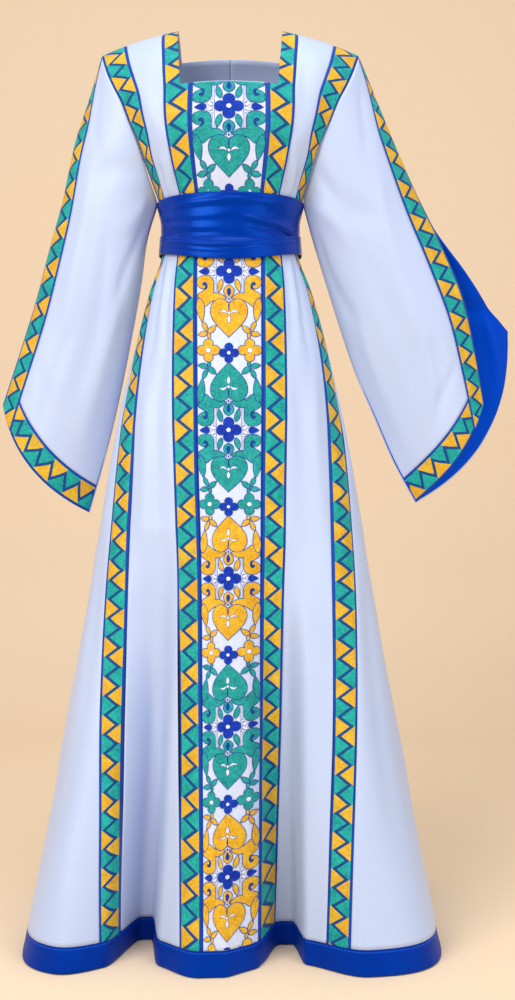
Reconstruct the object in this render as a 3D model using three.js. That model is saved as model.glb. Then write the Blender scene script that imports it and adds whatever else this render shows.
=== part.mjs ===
// A full-length women's jalabiya, worn shape, hollow: a flared body cut in long panels, two split bell
// sleeves with blue linings, zigzag-bordered bands, a blue hem band and a blue waist sash wound in two turns.
// Millimetres, +Z up. The front faces -Y, the wearer's left is +X. The origin is midway between the neck
// ends of the two shoulder seams. Inside this file heights run up from the hem, and the group is lowered
// last.
import * as THREE from 'three';

// ---------------------------------------------------------------- driving dimensions
const SHOULDER_HEIGHT = 1460; // neck end of the shoulder seam above the hem
const CLOTH = 1.5; // wall of the dress cloth and its bands
const LINING = 1.0; // wall of the sleeve lining
const SASH_CLOTH = 1.6; // wall of the sash satin
const SEAM = 0.3; // gap left between two pieces at a seam
const HEM_BAND = 36; // height of the blue band round the hem
const SLEEVE_BAND = 55; // the zigzag band along the sleeve's over-arm edge, measured on the slant
const CUFF_BAND = 52; // the cuff's zigzag band, measured along the slanting sleeve
const LINING_TOP = 0.4; // share of the sleeve's length where the lining starts
const ARMPIT = 1175; // height of the underarm point
const NECKLINE = 1342; // height of the square front neckline
const BACK_NECK = 1435; // height of the shallow back neckline
const BACK_WAIST = 1125; // the back's waist seam, under the sash
const SHOULDER = 1467; // row height of the shoulder seam, before it drops towards the arm

// Cross sections of the body below the armpit: half widths to the wearer's right and left, and depths.
// square: 2 is an ellipse, more is boxier.
const RINGS = [
  { z: 0, right: 315, left: 327, front: 284, back: 262, square: 5.6 },
  { z: 90, right: 300, left: 311, front: 270, back: 252, square: 4.9 },
  { z: 230, right: 273, left: 284, front: 248, back: 232, square: 4.0 },
  { z: 380, right: 253, left: 261, front: 222, back: 210, square: 3.4 },
  { z: 550, right: 228, left: 234, front: 192, back: 185, square: 2.9 },
  { z: 640, right: 212, left: 217, front: 176, back: 170, square: 2.7 },
  { z: 730, right: 198, left: 202, front: 161, back: 155, square: 2.55 },
  { z: 800, right: 184.5, left: 189, front: 149, back: 143, square: 2.45 },
  { z: 883, right: 167, left: 171, front: 136, back: 130, square: 2.4 },
  { z: 955, right: 151, left: 154, front: 124, back: 116, square: 2.3 },
  { z: 1024, right: 133, left: 134.5, front: 112, back: 98, square: 2.25 },
  { z: 1075, right: 115, left: 115, front: 103, back: 85, square: 2.2 },
  { z: 1105, right: 108.5, left: 108.5, front: 99, back: 79, square: 2.2 },
  { z: 1145, right: 110, left: 110, front: 97, back: 79, square: 2.2 },
  { z: ARMPIT, right: 118, left: 118, front: 100, back: 84, square: 2.2 },
];

// Cross sections of the bodice, from the armpit to the shoulder seam. Each is an arc from the centre to the
// armhole edge: edge is the edge's half width, share its depth as a share of the centre's, drop its fall.
const BODICE = [
  { z: ARMPIT, drop: 0, front: 100, frontEdge: 116.4, frontShare: 0.2, back: 84, backEdge: 118, backShare: 0 },
  { z: 1203, drop: 2, front: 112, frontEdge: 126, frontShare: 0.36, back: 90, backEdge: 128, backShare: 0.33 },
  { z: 1235, drop: 5, front: 121, frontEdge: 136, frontShare: 0.46, back: 97, backEdge: 138, backShare: 0.47 },
  { z: 1270, drop: 9, front: 125, frontEdge: 148, frontShare: 0.54, back: 103, backEdge: 150, backShare: 0.55 },
  { z: 1305, drop: 14, front: 121, frontEdge: 162, frontShare: 0.59, back: 107, backEdge: 163, backShare: 0.58 },
  { z: NECKLINE, drop: 19, front: 111, frontEdge: 175, frontShare: 0.62, back: 108, backEdge: 175, backShare: 0.57 },
  { z: 1375, drop: 26, front: 96, frontEdge: 188, frontShare: 0.63, back: 103, backEdge: 188, backShare: 0.55 },
  { z: 1408, drop: 34, front: 77, frontEdge: 199, frontShare: 0.62, back: 90, backEdge: 199, backShare: 0.51 },
  { z: BACK_NECK, drop: 40, front: 54, frontEdge: 206, frontShare: 0.61, back: 68, backEdge: 206, backShare: 0.47 },
  { z: 1455, drop: 45, front: 29, frontEdge: 210.5, frontShare: 0.62, back: 40, backEdge: 210.5, backShare: 0.45 },
  { z: SHOULDER, drop: 49, front: 0, frontEdge: 212, frontShare: 0.62, back: 0, backEdge: 212, backShare: 0.45 },
];

// The front's cut lines on the bodice: centre is half the flowered panel, trim where the band beside it ends,
// band the princess band's width along the armhole.
const BODICE_CUTS = [
  { z: ARMPIT, centre: 52, trim: 85, band: 30 },
  { z: 1203, centre: 55, trim: 91, band: 26 },
  { z: 1235, centre: 58, trim: 98, band: 23 },
  { z: 1270, centre: 60, trim: 103, band: 28 },
  { z: 1305, centre: 60, trim: 105, band: 33 },
  { z: NECKLINE, centre: 59, trim: 105, band: 38 },
  { z: 1375, centre: 59, trim: 107, band: 41 },
  { z: 1408, centre: 59, trim: 109, band: 43 },
  { z: BACK_NECK, centre: 59, trim: 111, band: 44 },
  { z: 1455, centre: 59, trim: 112, band: 45 },
  { z: SHOULDER, centre: 59, trim: 112, band: 45 },
];
const BODICE_SQUARE = 2.3;

// Where the front's cut lines lie below the waist, along the undraped ring from the centre: the edge of the
// flowered panel, of the band beside it, of the plain gore and of the princess band. left is the wearer's.
const CUTS = {
  right: [
    { z: 0, centre: 35, trim: 68.5, gore: 165, band: 189 },
    { z: 163, centre: 36, trim: 71, gore: 168, band: 197 },
    { z: 362, centre: 39, trim: 74.5, gore: 170, band: 207 },
    { z: 587, centre: 42.5, trim: 81, gore: 168, band: 211 },
    { z: 740, centre: 48, trim: 86.5, gore: 161, band: 208 },
    { z: 900, centre: 51, trim: 91, gore: 156.5, band: 202 },
    { z: 1020, centre: 53, trim: 92, gore: 147, band: 184 },
    { z: 1075, centre: 53, trim: 90, gore: 133, band: 164 },
    { z: 1120, centre: 52, trim: 86, gore: 120, band: 151 },
  ],
  left: [
    { z: 0, centre: 47, trim: 72, gore: 144, band: 178 },
    { z: 163, centre: 48, trim: 76.5, gore: 152, band: 186 },
    { z: 362, centre: 50.5, trim: 84.5, gore: 162, band: 199 },
    { z: 587, centre: 52, trim: 90, gore: 166, band: 212 },
    { z: 740, centre: 52.5, trim: 91.5, gore: 167, band: 216 },
    { z: 900, centre: 53, trim: 92.5, gore: 165, band: 210 },
    { z: 1020, centre: 53, trim: 92, gore: 149.5, band: 185 },
    { z: 1075, centre: 53, trim: 90, gore: 133, band: 164 },
    { z: 1120, centre: 52, trim: 86, gore: 120, band: 151 },
  ],
};
const NECK_SHARE = 0.4; // where the neck opening cuts through the band beside the flowered panel

// Half width of the neck opening.
const NECK = [
  { z: NECKLINE, x: 77 },
  { z: 1375, x: 79.5 },
  { z: BACK_NECK, x: 84 },
  { z: SHOULDER, x: 85.5 },
];

// Folds of the skirt. on says where at is measured from, along the undraped hem ring; top is where the fold
// runs out. floor is the trough's bottom, minus and plus the widths of its two slopes, towards -X and +X
// on the front and back, and towards the front and back on the sides. A deep fold is two rows.
const FOLDS = [
  { on: 'front', at: -132, floor: 20, minus: 110, plus: 80, depth: 60, top: 800 },
  { on: 'front', at: -132, floor: 18, minus: 42, plus: 20, depth: 104, top: 640 },
  { on: 'front', at: 89, floor: 22, minus: 90, plus: 105, depth: 58, top: 810 },
  { on: 'front', at: 89, floor: 22, minus: 32, plus: 16, depth: 84, top: 620 },
  { on: 'left', at: 6, floor: 30, minus: 95, plus: 80, depth: 52, top: 640 },
  { on: 'right', at: -8, floor: 26, minus: 85, plus: 95, depth: 56, top: 600 },
  { on: 'back', at: -158, floor: 20, minus: 90, plus: 76, depth: 50, top: 820 },
  { on: 'back', at: -158, floor: 16, minus: 40, plus: 24, depth: 62, top: 600 },
  { on: 'back', at: 12, floor: 24, minus: 60, plus: 84, depth: 46, top: 720 },
  { on: 'back', at: 12, floor: 16, minus: 22, plus: 40, depth: 50, top: 560 },
  { on: 'back', at: 168, floor: 18, minus: 70, plus: 80, depth: 56, top: 850 },
  { on: 'back', at: 168, floor: 16, minus: 26, plus: 34, depth: 60, top: 640 },
];
const FOLD_SOFTER_UP = 24; // how much wider each slope is where the fold runs out
const FOLD_LEAN = 0.14; // share by which a fold nears the centre at its top

// Sleeve sections from the armhole to the cuff. over is the edge over the arm, under the fold below it.
// Deep is how far each half bulges; rounds says how evenly: 1 is half an ellipse, 0 a shallow sine. Below
// the split the back half's edge leaves the front's; open is how far it has gone by the cuff.
const SPLIT = 0.49; // share of the sleeve's length where the over-arm split starts
const OPEN_BEND = { x: 2.1, y: 1.1, z: 1.1 };
const SLEEVES = {
  right: {
    side: -1,
    bow: { front: 26, back: 21 },
    open: { x: -8, y: 34, z: 1 },
    sections: [
      { t: 0, overX: 212, overZ: 1418, underX: 118, underZ: 1175, frontDeep: 68, backDeep: 60 },
      { t: 0.12, overX: 232, overZ: 1349, underX: 136, underZ: 1115, frontDeep: 65, backDeep: 58 },
      { t: 0.25, overX: 256, overZ: 1276, underX: 146, underZ: 1047, frontDeep: 60, backDeep: 56 },
      { t: 0.4, overX: 277, overZ: 1182, underX: 159, underZ: 970, frontDeep: 54, backDeep: 53 },
      { t: 0.55, overX: 299, overZ: 1101, underX: 174, underZ: 892, frontDeep: 49, backDeep: 50 },
      { t: 0.7, overX: 322, overZ: 1013, underX: 191, underZ: 814, frontDeep: 44, backDeep: 46 },
      { t: 0.85, overX: 348, overZ: 929, underX: 210, underZ: 740, frontDeep: 39, backDeep: 42 },
      { t: 1, overX: 376, overZ: 843, underX: 232, underZ: 664, frontDeep: 34, backDeep: 38 },
    ],
    rounds: [
      { t: 0, front: 1, back: 1 },
      { t: 0.12, front: 1, back: 1 },
      { t: 0.25, front: 0.9, back: 1 },
      { t: 0.4, front: 0.8, back: 0.9 },
      { t: 0.55, front: 0.7, back: 0.8 },
      { t: 0.7, front: 0.5, back: 0.7 },
      { t: 0.85, front: 0.3, back: 0.5 },
      { t: 1, front: 0.2, back: 0.4 },
    ],
  },
  left: {
    side: 1,
    bow: { front: 14, back: 56 },
    open: { x: 57, y: 100, z: 130 },
    sections: [
      { t: 0, overX: 212, overZ: 1418, underX: 118, underZ: 1175, frontDeep: 68, backDeep: 60 },
      { t: 0.12, overX: 240, overZ: 1349, underX: 135, underZ: 1113, frontDeep: 65, backDeep: 58 },
      { t: 0.25, overX: 271, overZ: 1274, underX: 155, underZ: 1047, frontDeep: 60, backDeep: 56 },
      { t: 0.4, overX: 308, overZ: 1190, underX: 179, underZ: 971, frontDeep: 54, backDeep: 52 },
      { t: 0.55, overX: 349, overZ: 1107, underX: 205, underZ: 895, frontDeep: 48, backDeep: 48 },
      { t: 0.7, overX: 384, overZ: 1022, underX: 236, underZ: 823, frontDeep: 42, backDeep: 42 },
      { t: 0.85, overX: 404, overZ: 934, underX: 268, underZ: 749, frontDeep: 36, backDeep: 36 },
      { t: 1, overX: 419, overZ: 845, underX: 305, underZ: 680, frontDeep: 31, backDeep: 30 },
    ],
    rounds: [
      { t: 0, front: 1, back: 1 },
      { t: 0.12, front: 0.95, back: 1 },
      { t: 0.25, front: 0.8, back: 0.9 },
      { t: 0.4, front: 0.55, back: 0.8 },
      { t: 0.55, front: 0.3, back: 0.6 },
      { t: 0.7, front: 0.1, back: 0.4 },
      { t: 0.85, front: 0, back: 0.2 },
      { t: 1, front: 0, back: 0.2 },
    ],
  },
};
const SLEEVE_LENGTH = 420; // about, for turning a seam gap into a share of the sleeve
const LOOP_BLEND = 0.3; // share of the sleeve over which the armhole's own curve fades out
const BOW_START = 0.5;

// The sash: how far each turn's outer face stands off the dress, from its lower edge (0) to its upper (1).
const UPPER_TURN = [
  { up: 0, out: 3.0 },
  { up: 0.2, out: 3.4 },
  { up: 0.42, out: 4.6 },
  { up: 0.6, out: 3.6 },
  { up: 0.8, out: 4.4 },
  { up: 1, out: 3.2 },
];
const LOWER_TURN = [
  { up: 0, out: 4.6 },
  { up: 0.3, out: 6.2 },
  { up: 0.7, out: 6.6 },
  { up: 1, out: 6.4 },
];
const SASH_TOP = 1170;
const SASH_DIP_FRONT = 1063; // lower edge at the centre front
const SASH_DIP_SIDE = 1086; // and at the sides
const LOWER_TURN_HEIGHT = 30;
const SASH_LAP = 6; // the upper turn starts this far above the lower turn's lower edge

// Rows of the mesh, and columns of each piece.
const SKIRT_ROWS = [120, 210, 300, 390, 480, 570, 660, 750, 840, 920, 990, 1045, 1075, 1090, 1105, 1125, 1150];
const BODICE_ROWS = BODICE.map((row) => row.z);
const COLUMNS = { centre: 3, gore: 9, band: 2, side: 7, backNeck: 3, back: 13 };
const SLEEVE_ROWS = [0.06, 0.13, 0.21, 0.3, LINING_TOP, SPLIT, 0.58, 0.67, 0.76, 0.85];
const SASH_COLUMNS = 40;
const LINE_STEPS = 420; // samples along each half ring
const EVEN_TOP = 1100;
const TURN_WEIGHT = 34; // mm of extra column density for each radian the hem turns

const material = (color, roughness) => new THREE.MeshStandardMaterial({ color, roughness, metalness: 0 });
const MATERIALS = {
  cloth: material(0xdbe1f8, 0.55),
  flowered: material(0xeecb63, 0.7),
  zigzag: material(0x2ba490, 0.65),
  blue: material(0x0b3fb4, 0.45),
};

// ---------------------------------------------------------------- small helpers
const clamp = (v, lo, hi) => Math.min(hi, Math.max(lo, v));
const mix = (a, b, t) => a + (b - a) * t;
const smooth = (t) => {
  const c = clamp(t, 0, 1);
  return c * c * (3 - 2 * c);
};
const range = (n) => Array.from({ length: n + 1 }, (_, i) => i / n);

// Reads a table at a place: a smooth curve through each column's rows.
function read(table, key, at) {
  const last = table.length - 1;
  let i = 0;
  while (i < last - 1 && table[i + 1][key] <= at) i += 1;
  const [a, b] = [table[i], table[i + 1]];
  const before = table[Math.max(i - 1, 0)];
  const after = table[Math.min(i + 2, last)];
  const gap = b[key] - a[key];
  const t = clamp((at - a[key]) / gap, 0, 1);
  const out = {};
  for (const name of Object.keys(a)) {
    const slopeA = ((b[name] - before[name]) / (b[key] - before[key])) * gap;
    const slopeB = ((after[name] - a[name]) / (after[key] - a[key])) * gap;
    const t2 = t * t;
    const t3 = t2 * t;
    out[name] =
      (2 * t3 - 3 * t2 + 1) * a[name] +
      (t3 - 2 * t2 + t) * slopeA +
      (3 * t2 - 2 * t3) * b[name] +
      (t3 - t2) * slopeB;
  }
  return out;
}

// Adds to a list of points the length along them, and gives the point at a length.
function measured(points) {
  let length = 0;
  points.forEach((p, i) => {
    if (i) length += p.distanceTo(points[i - 1]);
    p.along = length;
  });
  return points;
}

function pointAt(points, value, key = 'along') {
  let lo = 0;
  let hi = points.length - 1;
  while (hi - lo > 1) {
    const middle = (lo + hi) >> 1;
    if (points[middle][key] <= value) lo = middle;
    else hi = middle;
  }
  const gap = points[hi][key] - points[lo][key] || 1;
  return points[lo].clone().lerp(points[hi], (value - points[lo][key]) / gap);
}

// ---------------------------------------------------------------- the body's surface
const superArc = (share, square) => Math.pow(Math.max(0, 1 - Math.pow(Math.abs(share), square)), 1 / square);

// How deep the folds are at a place on the undraped ring. places gives its distance from each anchor.
function foldDepth(z, places) {
  let depth = 0;
  for (const fold of FOLDS) {
    if (!(fold.on in places) || z >= fold.top) continue;
    const share = (fold.top - z) / fold.top;
    const softer = FOLD_SOFTER_UP * (1 - share);
    const away = places[fold.on] - fold.at * (1 - FOLD_LEAN * (1 - share));
    const slope = (away < 0 ? fold.minus : fold.plus) + softer;
    depth += fold.depth * share * smooth(1 - (Math.abs(away) - fold.floor / 2) / slope);
  }
  return depth;
}

// Half a ring, from the wearer's right side through the centre to the left. Each point carries s, its
// distance from the centre along the undraped ring, and along, the cloth's own length from the first point.
const halfRings = new Map();
function halfRing(z, face) {
  const key = `${face}${z.toFixed(3)}`;
  if (!halfRings.has(key)) halfRings.set(key, z >= ARMPIT ? bodiceRing(z, face) : skirtRing(z, face));
  return halfRings.get(key);
}

function marked(points) {
  measured(points);
  const middle = points[LINE_STEPS].along;
  for (const p of points) p.s = p.along - middle;
  return points;
}

function bodiceRing(z, face) {
  const front = face === 'front';
  const row = read(BODICE, 'z', z);
  const depth = front ? row.front : row.back;
  const edge = front ? row.frontEdge : row.backEdge;
  const share = clamp(front ? row.frontShare : row.backShare, 0, 0.99);
  const wide = edge / superArc(share, BODICE_SQUARE);
  const turn = Math.asin(clamp(edge / wide, 0, 1));
  const points = [];
  for (let i = -LINE_STEPS; i <= LINE_STEPS; i += 1) {
    const x = wide * Math.sin((turn * i) / LINE_STEPS);
    const y = depth * superArc(x / wide, BODICE_SQUARE);
    points.push(new THREE.Vector3(x, front ? -y : y, z - row.drop * (x / edge) ** 2));
  }
  return marked(points);
}

function skirtRing(z, face) {
  const front = face === 'front';
  const row = read(RINGS, 'z', z);
  const depth = front ? row.front : row.back;
  const power = 2 / row.square;
  const bare = [];
  for (let i = -LINE_STEPS; i <= LINE_STEPS; i += 1) {
    const angle = (Math.PI / 2) * (i / LINE_STEPS);
    const x = (i < 0 ? row.right : row.left) * Math.sign(i) * Math.pow(Math.abs(Math.sin(angle)), power);
    const y = depth * Math.pow(Math.abs(Math.cos(angle)), power);
    bare.push(new THREE.Vector3(x, front ? -y : y, z));
  }
  marked(bare);
  const last = bare.length - 1;
  const end = bare[last].s;
  const draped = bare.map((p, i) => {
    const near = bare[Math.max(i - 1, 0)];
    const next = bare[Math.min(i + 1, last)];
    const inward = new THREE.Vector3(near.y - next.y, next.x - near.x, 0).normalize();
    if (!front) inward.negate();
    if (i === 0 || i === last) inward.set(i === 0 ? 1 : -1, 0, 0);
    const fromSide = (end - Math.abs(p.s)) * (front ? -1 : 1);
    const places = { [face]: p.s, [p.s > 0 ? 'left' : 'right']: fromSide };
    return p.clone().addScaledVector(inward, foldDepth(z, places));
  });
  measured(draped);
  draped.forEach((p, i) => {
    p.s = bare[i].s;
  });
  return draped;
}

const bodyPoint = (face, z, s) => pointAt(halfRing(z, face), s, 's');
const reach = (face, z, side) => {
  const points = halfRing(z, face);
  return side > 0 ? points[points.length - 1].s : points[0].s;
};

// A point of the body's outer face with its outward normal.
function bodyCorner(face, z, s) {
  const p = bodyPoint(face, z, s);
  if (z > SHOULDER - 0.5) {
    const slope = (2 * read(BODICE, 'z', z).drop * p.x) / 212 ** 2;
    return { p, n: new THREE.Vector3(slope, 0, 1).normalize() };
  }
  const low = reach(face, z, -1);
  const high = reach(face, z, 1);
  const across = bodyPoint(face, z, Math.min(s + 3, high)).sub(bodyPoint(face, z, Math.max(s - 3, low)));
  const floor = z < ARMPIT ? 0 : ARMPIT;
  const top = z < ARMPIT ? ARMPIT - 1e-6 : SHOULDER;
  const up = bodyPoint(face, Math.min(z + 2, top), s).sub(bodyPoint(face, Math.max(z - 2, floor), s));
  const n = across.cross(up).normalize();
  return { p, n: face === 'front' ? n : n.negate() };
}

// ---------------------------------------------------------------- walls
// A closed wall from a lattice of outer points with normals. keep says which cells are cloth.
function wall(name, lattice, thick, finish, { closed = false, keep = () => true } = {}) {
  const rows = lattice.length;
  const columns = lattice[0].length;
  const position = [];
  for (const offset of [0, thick]) {
    for (const row of lattice) {
      for (const { p, n } of row) position.push(p.x - n.x * offset, p.y - n.y * offset, p.z - n.z * offset);
    }
  }
  const inner = rows * columns;
  const id = (i, j) => i * columns + (j % columns);
  const cells = [];
  for (let i = 0; i < rows - 1; i += 1) {
    for (let j = 0; j < (closed ? columns : columns - 1); j += 1) if (keep(i, j)) cells.push([i, j]);
  }
  // The lattice may run either way round, so the first cell says which way its faces point.
  const [i0, j0] = cells[0];
  const at = (k) => new THREE.Vector3().fromArray(position, 3 * k);
  const facing = at(id(i0, j0 + 1))
    .sub(at(id(i0, j0)))
    .cross(at(id(i0 + 1, j0)).sub(at(id(i0, j0))))
    .dot(lattice[i0][j0].n);
  const index = [];
  const face = (a, b, c) => (facing > 0 ? index.push(a, b, c) : index.push(a, c, b));
  const edges = new Map();
  for (const [i, j] of cells) {
    const ring = [id(i, j), id(i, j + 1), id(i + 1, j + 1), id(i + 1, j)];
    face(ring[0], ring[1], ring[2]);
    face(ring[0], ring[2], ring[3]);
    face(inner + ring[0], inner + ring[2], inner + ring[1]);
    face(inner + ring[0], inner + ring[3], inner + ring[2]);
    ring.forEach((a, k) => {
      const b = ring[(k + 1) % 4];
      if (!edges.delete(`${b},${a}`)) edges.set(`${a},${b}`, [a, b]);
    });
  }
  // Every rim quad is split from its lower corner, so that the rims of two pieces at a seam run alike.
  for (const [a, b] of edges.values()) {
    if (a < b) {
      face(b, a, inner + b);
      face(a, inner + a, inner + b);
    } else {
      face(b, a, inner + a);
      face(b, inner + a, inner + b);
    }
  }
  const used = [...new Set(index)];
  const place = new Map(used.map((v, k) => [v, k]));
  const geometry = new THREE.BufferGeometry();
  const kept = used.flatMap((v) => position.slice(3 * v, 3 * v + 3));
  geometry.setAttribute('position', new THREE.Float32BufferAttribute(kept, 3));
  geometry.setIndex(index.map((v) => place.get(v)));
  geometry.computeVertexNormals();
  const mesh = new THREE.Mesh(geometry, finish);
  mesh.name = name;
  return mesh;
}

// ---------------------------------------------------------------- where the body's pieces lie
// Distances from the centre front to each cut line at a height.
function frontCuts(z, side) {
  const end = Math.abs(reach('front', z, side));
  if (z < ARMPIT) {
    const top = read(BODICE_CUTS, 'z', ARMPIT);
    const edge = Math.abs(reach('front', ARMPIT, 1));
    const last = { z: ARMPIT, centre: top.centre, trim: top.trim, gore: edge - top.band, band: edge };
    const cut = read([...CUTS[side > 0 ? 'left' : 'right'], last], 'z', z);
    return { ...cut, neck: mix(cut.centre, cut.trim, NECK_SHARE), end };
  }
  const cut = read(BODICE_CUTS, 'z', z);
  let neck = mix(cut.centre, cut.trim, NECK_SHARE);
  if (z >= NECKLINE) {
    const { x } = read(NECK, 'z', z);
    neck = halfRing(z, 'front').find((p) => p.x >= x).s;
  }
  return { centre: cut.centre, neck, trim: cut.trim, gore: end - cut.band, band: end, end };
}

// Shares of a stretch of the ring, closer together where the hem turns sharply.
function shares(face, from, to, count) {
  const points = halfRing(HEM_BAND, face);
  const steps = 160;
  const weight = [0];
  const step = (to - from) / steps;
  const direction = (s) => {
    const d = pointAt(points, s + 2, 's').sub(pointAt(points, s - 2, 's'));
    return Math.atan2(d.y, d.x);
  };
  for (let k = 1; k <= steps; k += 1) {
    const s = from + step * k;
    const length = pointAt(points, s, 's').distanceTo(pointAt(points, s - step, 's'));
    let turn = Math.abs(direction(s) - direction(s - step));
    if (turn > Math.PI) turn = 2 * Math.PI - turn;
    weight.push(weight[k - 1] + length + TURN_WEIGHT * turn);
  }
  return range(count).map((share) => {
    const wanted = share * weight[steps];
    const k = clamp(weight.findIndex((w) => w >= wanted), 1, steps);
    return (k - 1 + (wanted - weight[k - 1]) / (weight[k] - weight[k - 1])) / steps;
  });
}

// Columns crowd where the hem turns; higher up they spread evenly.
const evened = (columnShares, z) =>
  columnShares.map((share, k) => mix(share, k / (columnShares.length - 1), smooth(z / EVEN_TOP)));

// The lattice of one body piece. cuts(z) gives its two edges, as distances from the centre.
function bodyLattice(face, side, rows, columnShares, cuts) {
  return rows.map((z) => {
    const [from, to] = cuts(z);
    const a = from + SEAM / 2;
    const b = to - SEAM / 2;
    return evened(columnShares, z).map((share) => {
      const corner = bodyCorner(face, z, side * mix(a, b, share));
      if (z > SHOULDER - 0.5) corner.p.y += face === 'front' ? -SEAM / 2 : SEAM / 2;
      return corner;
    });
  });
}

const PANEL_ROWS = [HEM_BAND + SEAM / 2, ...SKIRT_ROWS, ...BODICE_ROWS];
const BAND_ROWS = [0, HEM_BAND - SEAM / 2];
const below = (top) => PANEL_ROWS.filter((z) => z <= top + 0.01);
const SIDES = { right: -1, left: 1 };
const model = new THREE.Group();
const hemCuts = (side) => frontCuts(HEM_BAND, side);

function frontPanels() {
  const centreShares = range(2 * COLUMNS.centre);
  const centre = below(NECKLINE).map((z) => {
    const from = -frontCuts(z, -1).centre + SEAM / 2;
    const to = frontCuts(z, 1).centre - SEAM / 2;
    return centreShares.map((share) => bodyCorner('front', z, mix(from, to, share)));
  });
  model.add(wall('front_centre_panel', centre, CLOTH, MATERIALS.flowered));
  for (const [name, side] of Object.entries(SIDES)) {
    const hem = hemCuts(side);
    const gore = shares('front', side * hem.trim, side * hem.gore, COLUMNS.gore);
    const flank = shares('front', side * hem.band, side * hem.end, COLUMNS.side);
    // The centre band has one extra line of corners, along which the neck opening is cut out of it.
    const trim = PANEL_ROWS.map((z) => {
      const cuts = frontCuts(z, side);
      const middle = mix(cuts.neck, cuts.trim, 0.5);
      const places = [cuts.centre + SEAM / 2, cuts.neck, middle, cuts.trim - SEAM / 2];
      return places.map((s) => {
        const corner = bodyCorner('front', z, side * s);
        if (z > SHOULDER - 0.5) corner.p.y -= SEAM / 2;
        return corner;
      });
    });
    const neckRow = PANEL_ROWS.indexOf(NECKLINE);
    const keep = (i, j) => j > 0 || i < neckRow;
    model.add(wall(`centre_band_${name}`, trim, CLOTH, MATERIALS.zigzag, { keep }));
    const pieces = [
      ['front_gore', PANEL_ROWS, gore, (c) => [c.trim, c.gore], MATERIALS.cloth],
      ['princess_band', PANEL_ROWS, range(COLUMNS.band), (c) => [c.gore, c.band], MATERIALS.zigzag],
      ['side_panel', below(ARMPIT - 1).concat(ARMPIT - 0.02), flank, (c) => [c.band, c.end], MATERIALS.cloth],
    ];
    for (const [piece, rows, columnShares, edges, finish] of pieces) {
      const lattice = bodyLattice('front', side, rows, columnShares, (z) => edges(frontCuts(z, side)));
      model.add(wall(`${piece}_${name}`, lattice, CLOTH, finish));
    }
  }
}

// Distances from the centre back of each column of a back panel, closer together at the neck.
function backColumns(z, side, columnShares) {
  const end = Math.abs(reach('back', z, side)) - SEAM / 2;
  const neckX = read(NECK, 'z', Math.max(z, NECKLINE)).x;
  const neck = z >= ARMPIT ? halfRing(z, 'back').find((p) => p.x >= neckX).s : 0;
  const first = z >= ARMPIT ? neck : end * evened(columnShares, z)[COLUMNS.backNeck];
  const seam = SEAM / 2;
  const spread = evened(columnShares, z);
  return spread.map((share, k) => {
    if (k <= COLUMNS.backNeck) return mix(seam, first, share / spread[COLUMNS.backNeck]);
    return mix(first, end, (share - spread[COLUMNS.backNeck]) / (1 - spread[COLUMNS.backNeck]));
  });
}

const backShares = (side) => shares('back', 0, reach('back', HEM_BAND, side), COLUMNS.backNeck + COLUMNS.back);

// Each half of the back is a skirt and a bodice, seamed at the waist under the sash.
function backPanels() {
  const skirt = [...PANEL_ROWS.filter((z) => z < BACK_WAIST - 1), BACK_WAIST - SEAM / 2];
  const bodice = [BACK_WAIST + SEAM / 2, ...PANEL_ROWS.filter((z) => z > BACK_WAIST + 1)];
  for (const [name, side] of Object.entries(SIDES)) {
    const columnShares = backShares(side);
    for (const [piece, rows] of Object.entries({ back_skirt: skirt, back_bodice: bodice })) {
      const lattice = rows.map((z) =>
        backColumns(z, side, columnShares).map((s) => {
          const corner = bodyCorner('back', z, side * s);
          if (z > SHOULDER - 0.5) corner.p.y += SEAM / 2;
          return corner;
        }),
      );
      const keep = (i, j) => j >= COLUMNS.backNeck || rows[i] < BACK_NECK;
      model.add(wall(`${piece}_${name}`, lattice, CLOTH, MATERIALS.cloth, { keep }));
    }
  }
}

// The hem band has a seam at each side, and the corners of the pieces above it.
function hemBands() {
  const front = BAND_ROWS.map((z) => {
    const row = [];
    for (const side of [-1, 1]) {
      const cuts = frontCuts(HEM_BAND, side);
      const end = Math.abs(reach('front', z, side)) - SEAM / 2;
      const stretch = end / cuts.end;
      const gore = shares('front', side * cuts.trim, side * cuts.gore, COLUMNS.gore);
      const flank = shares('front', side * cuts.band, side * cuts.end, COLUMNS.side);
      const places = [
        ...range(COLUMNS.centre).map((k) => k * cuts.centre),
        cuts.neck,
        mix(cuts.neck, cuts.trim, 0.5),
        cuts.trim,
        ...gore.slice(1).map((k) => mix(cuts.trim, cuts.gore, k)),
        ...range(COLUMNS.band).slice(1).map((k) => mix(cuts.gore, cuts.band, k)),
        ...flank.slice(1).map((k) => mix(cuts.band, cuts.end, k)),
      ].map((s) => side * s * stretch);
      row.push(...(side < 0 ? places.reverse() : places.slice(1)));
    }
    return row.map((s) => bodyCorner('front', z, s));
  });
  model.add(wall('hem_band_front', front, CLOTH, MATERIALS.blue));
  const back = BAND_ROWS.map((z) => {
    const right = backColumns(z, -1, backShares(-1)).map((s) => -s);
    const left = backColumns(z, 1, backShares(1));
    return [...right.reverse(), ...left].map((s) => bodyCorner('back', z, s));
  });
  model.add(wall('hem_band_back', back, CLOTH, MATERIALS.blue));
}

// ---------------------------------------------------------------- sleeves
// The armhole edge of one half of the body, from the shoulder tip down to the underarm point.
function armhole(side, half) {
  const corners = [...BODICE_ROWS].reverse().map((z) => {
    const end = Math.abs(reach(half, z, side));
    return bodyCorner(half, z, side * end);
  });
  if (half === 'front') corners.push(bodyCorner('front', ARMPIT - 0.02, reach('front', ARMPIT - 0.02, side)));
  let length = 0;
  corners.forEach((corner, k) => {
    if (k) length += corner.p.distanceTo(corners[k - 1].p);
    corner.along = length;
  });
  return corners.map((corner) => ({ ...corner, share: corner.along / length }));
}

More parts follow.
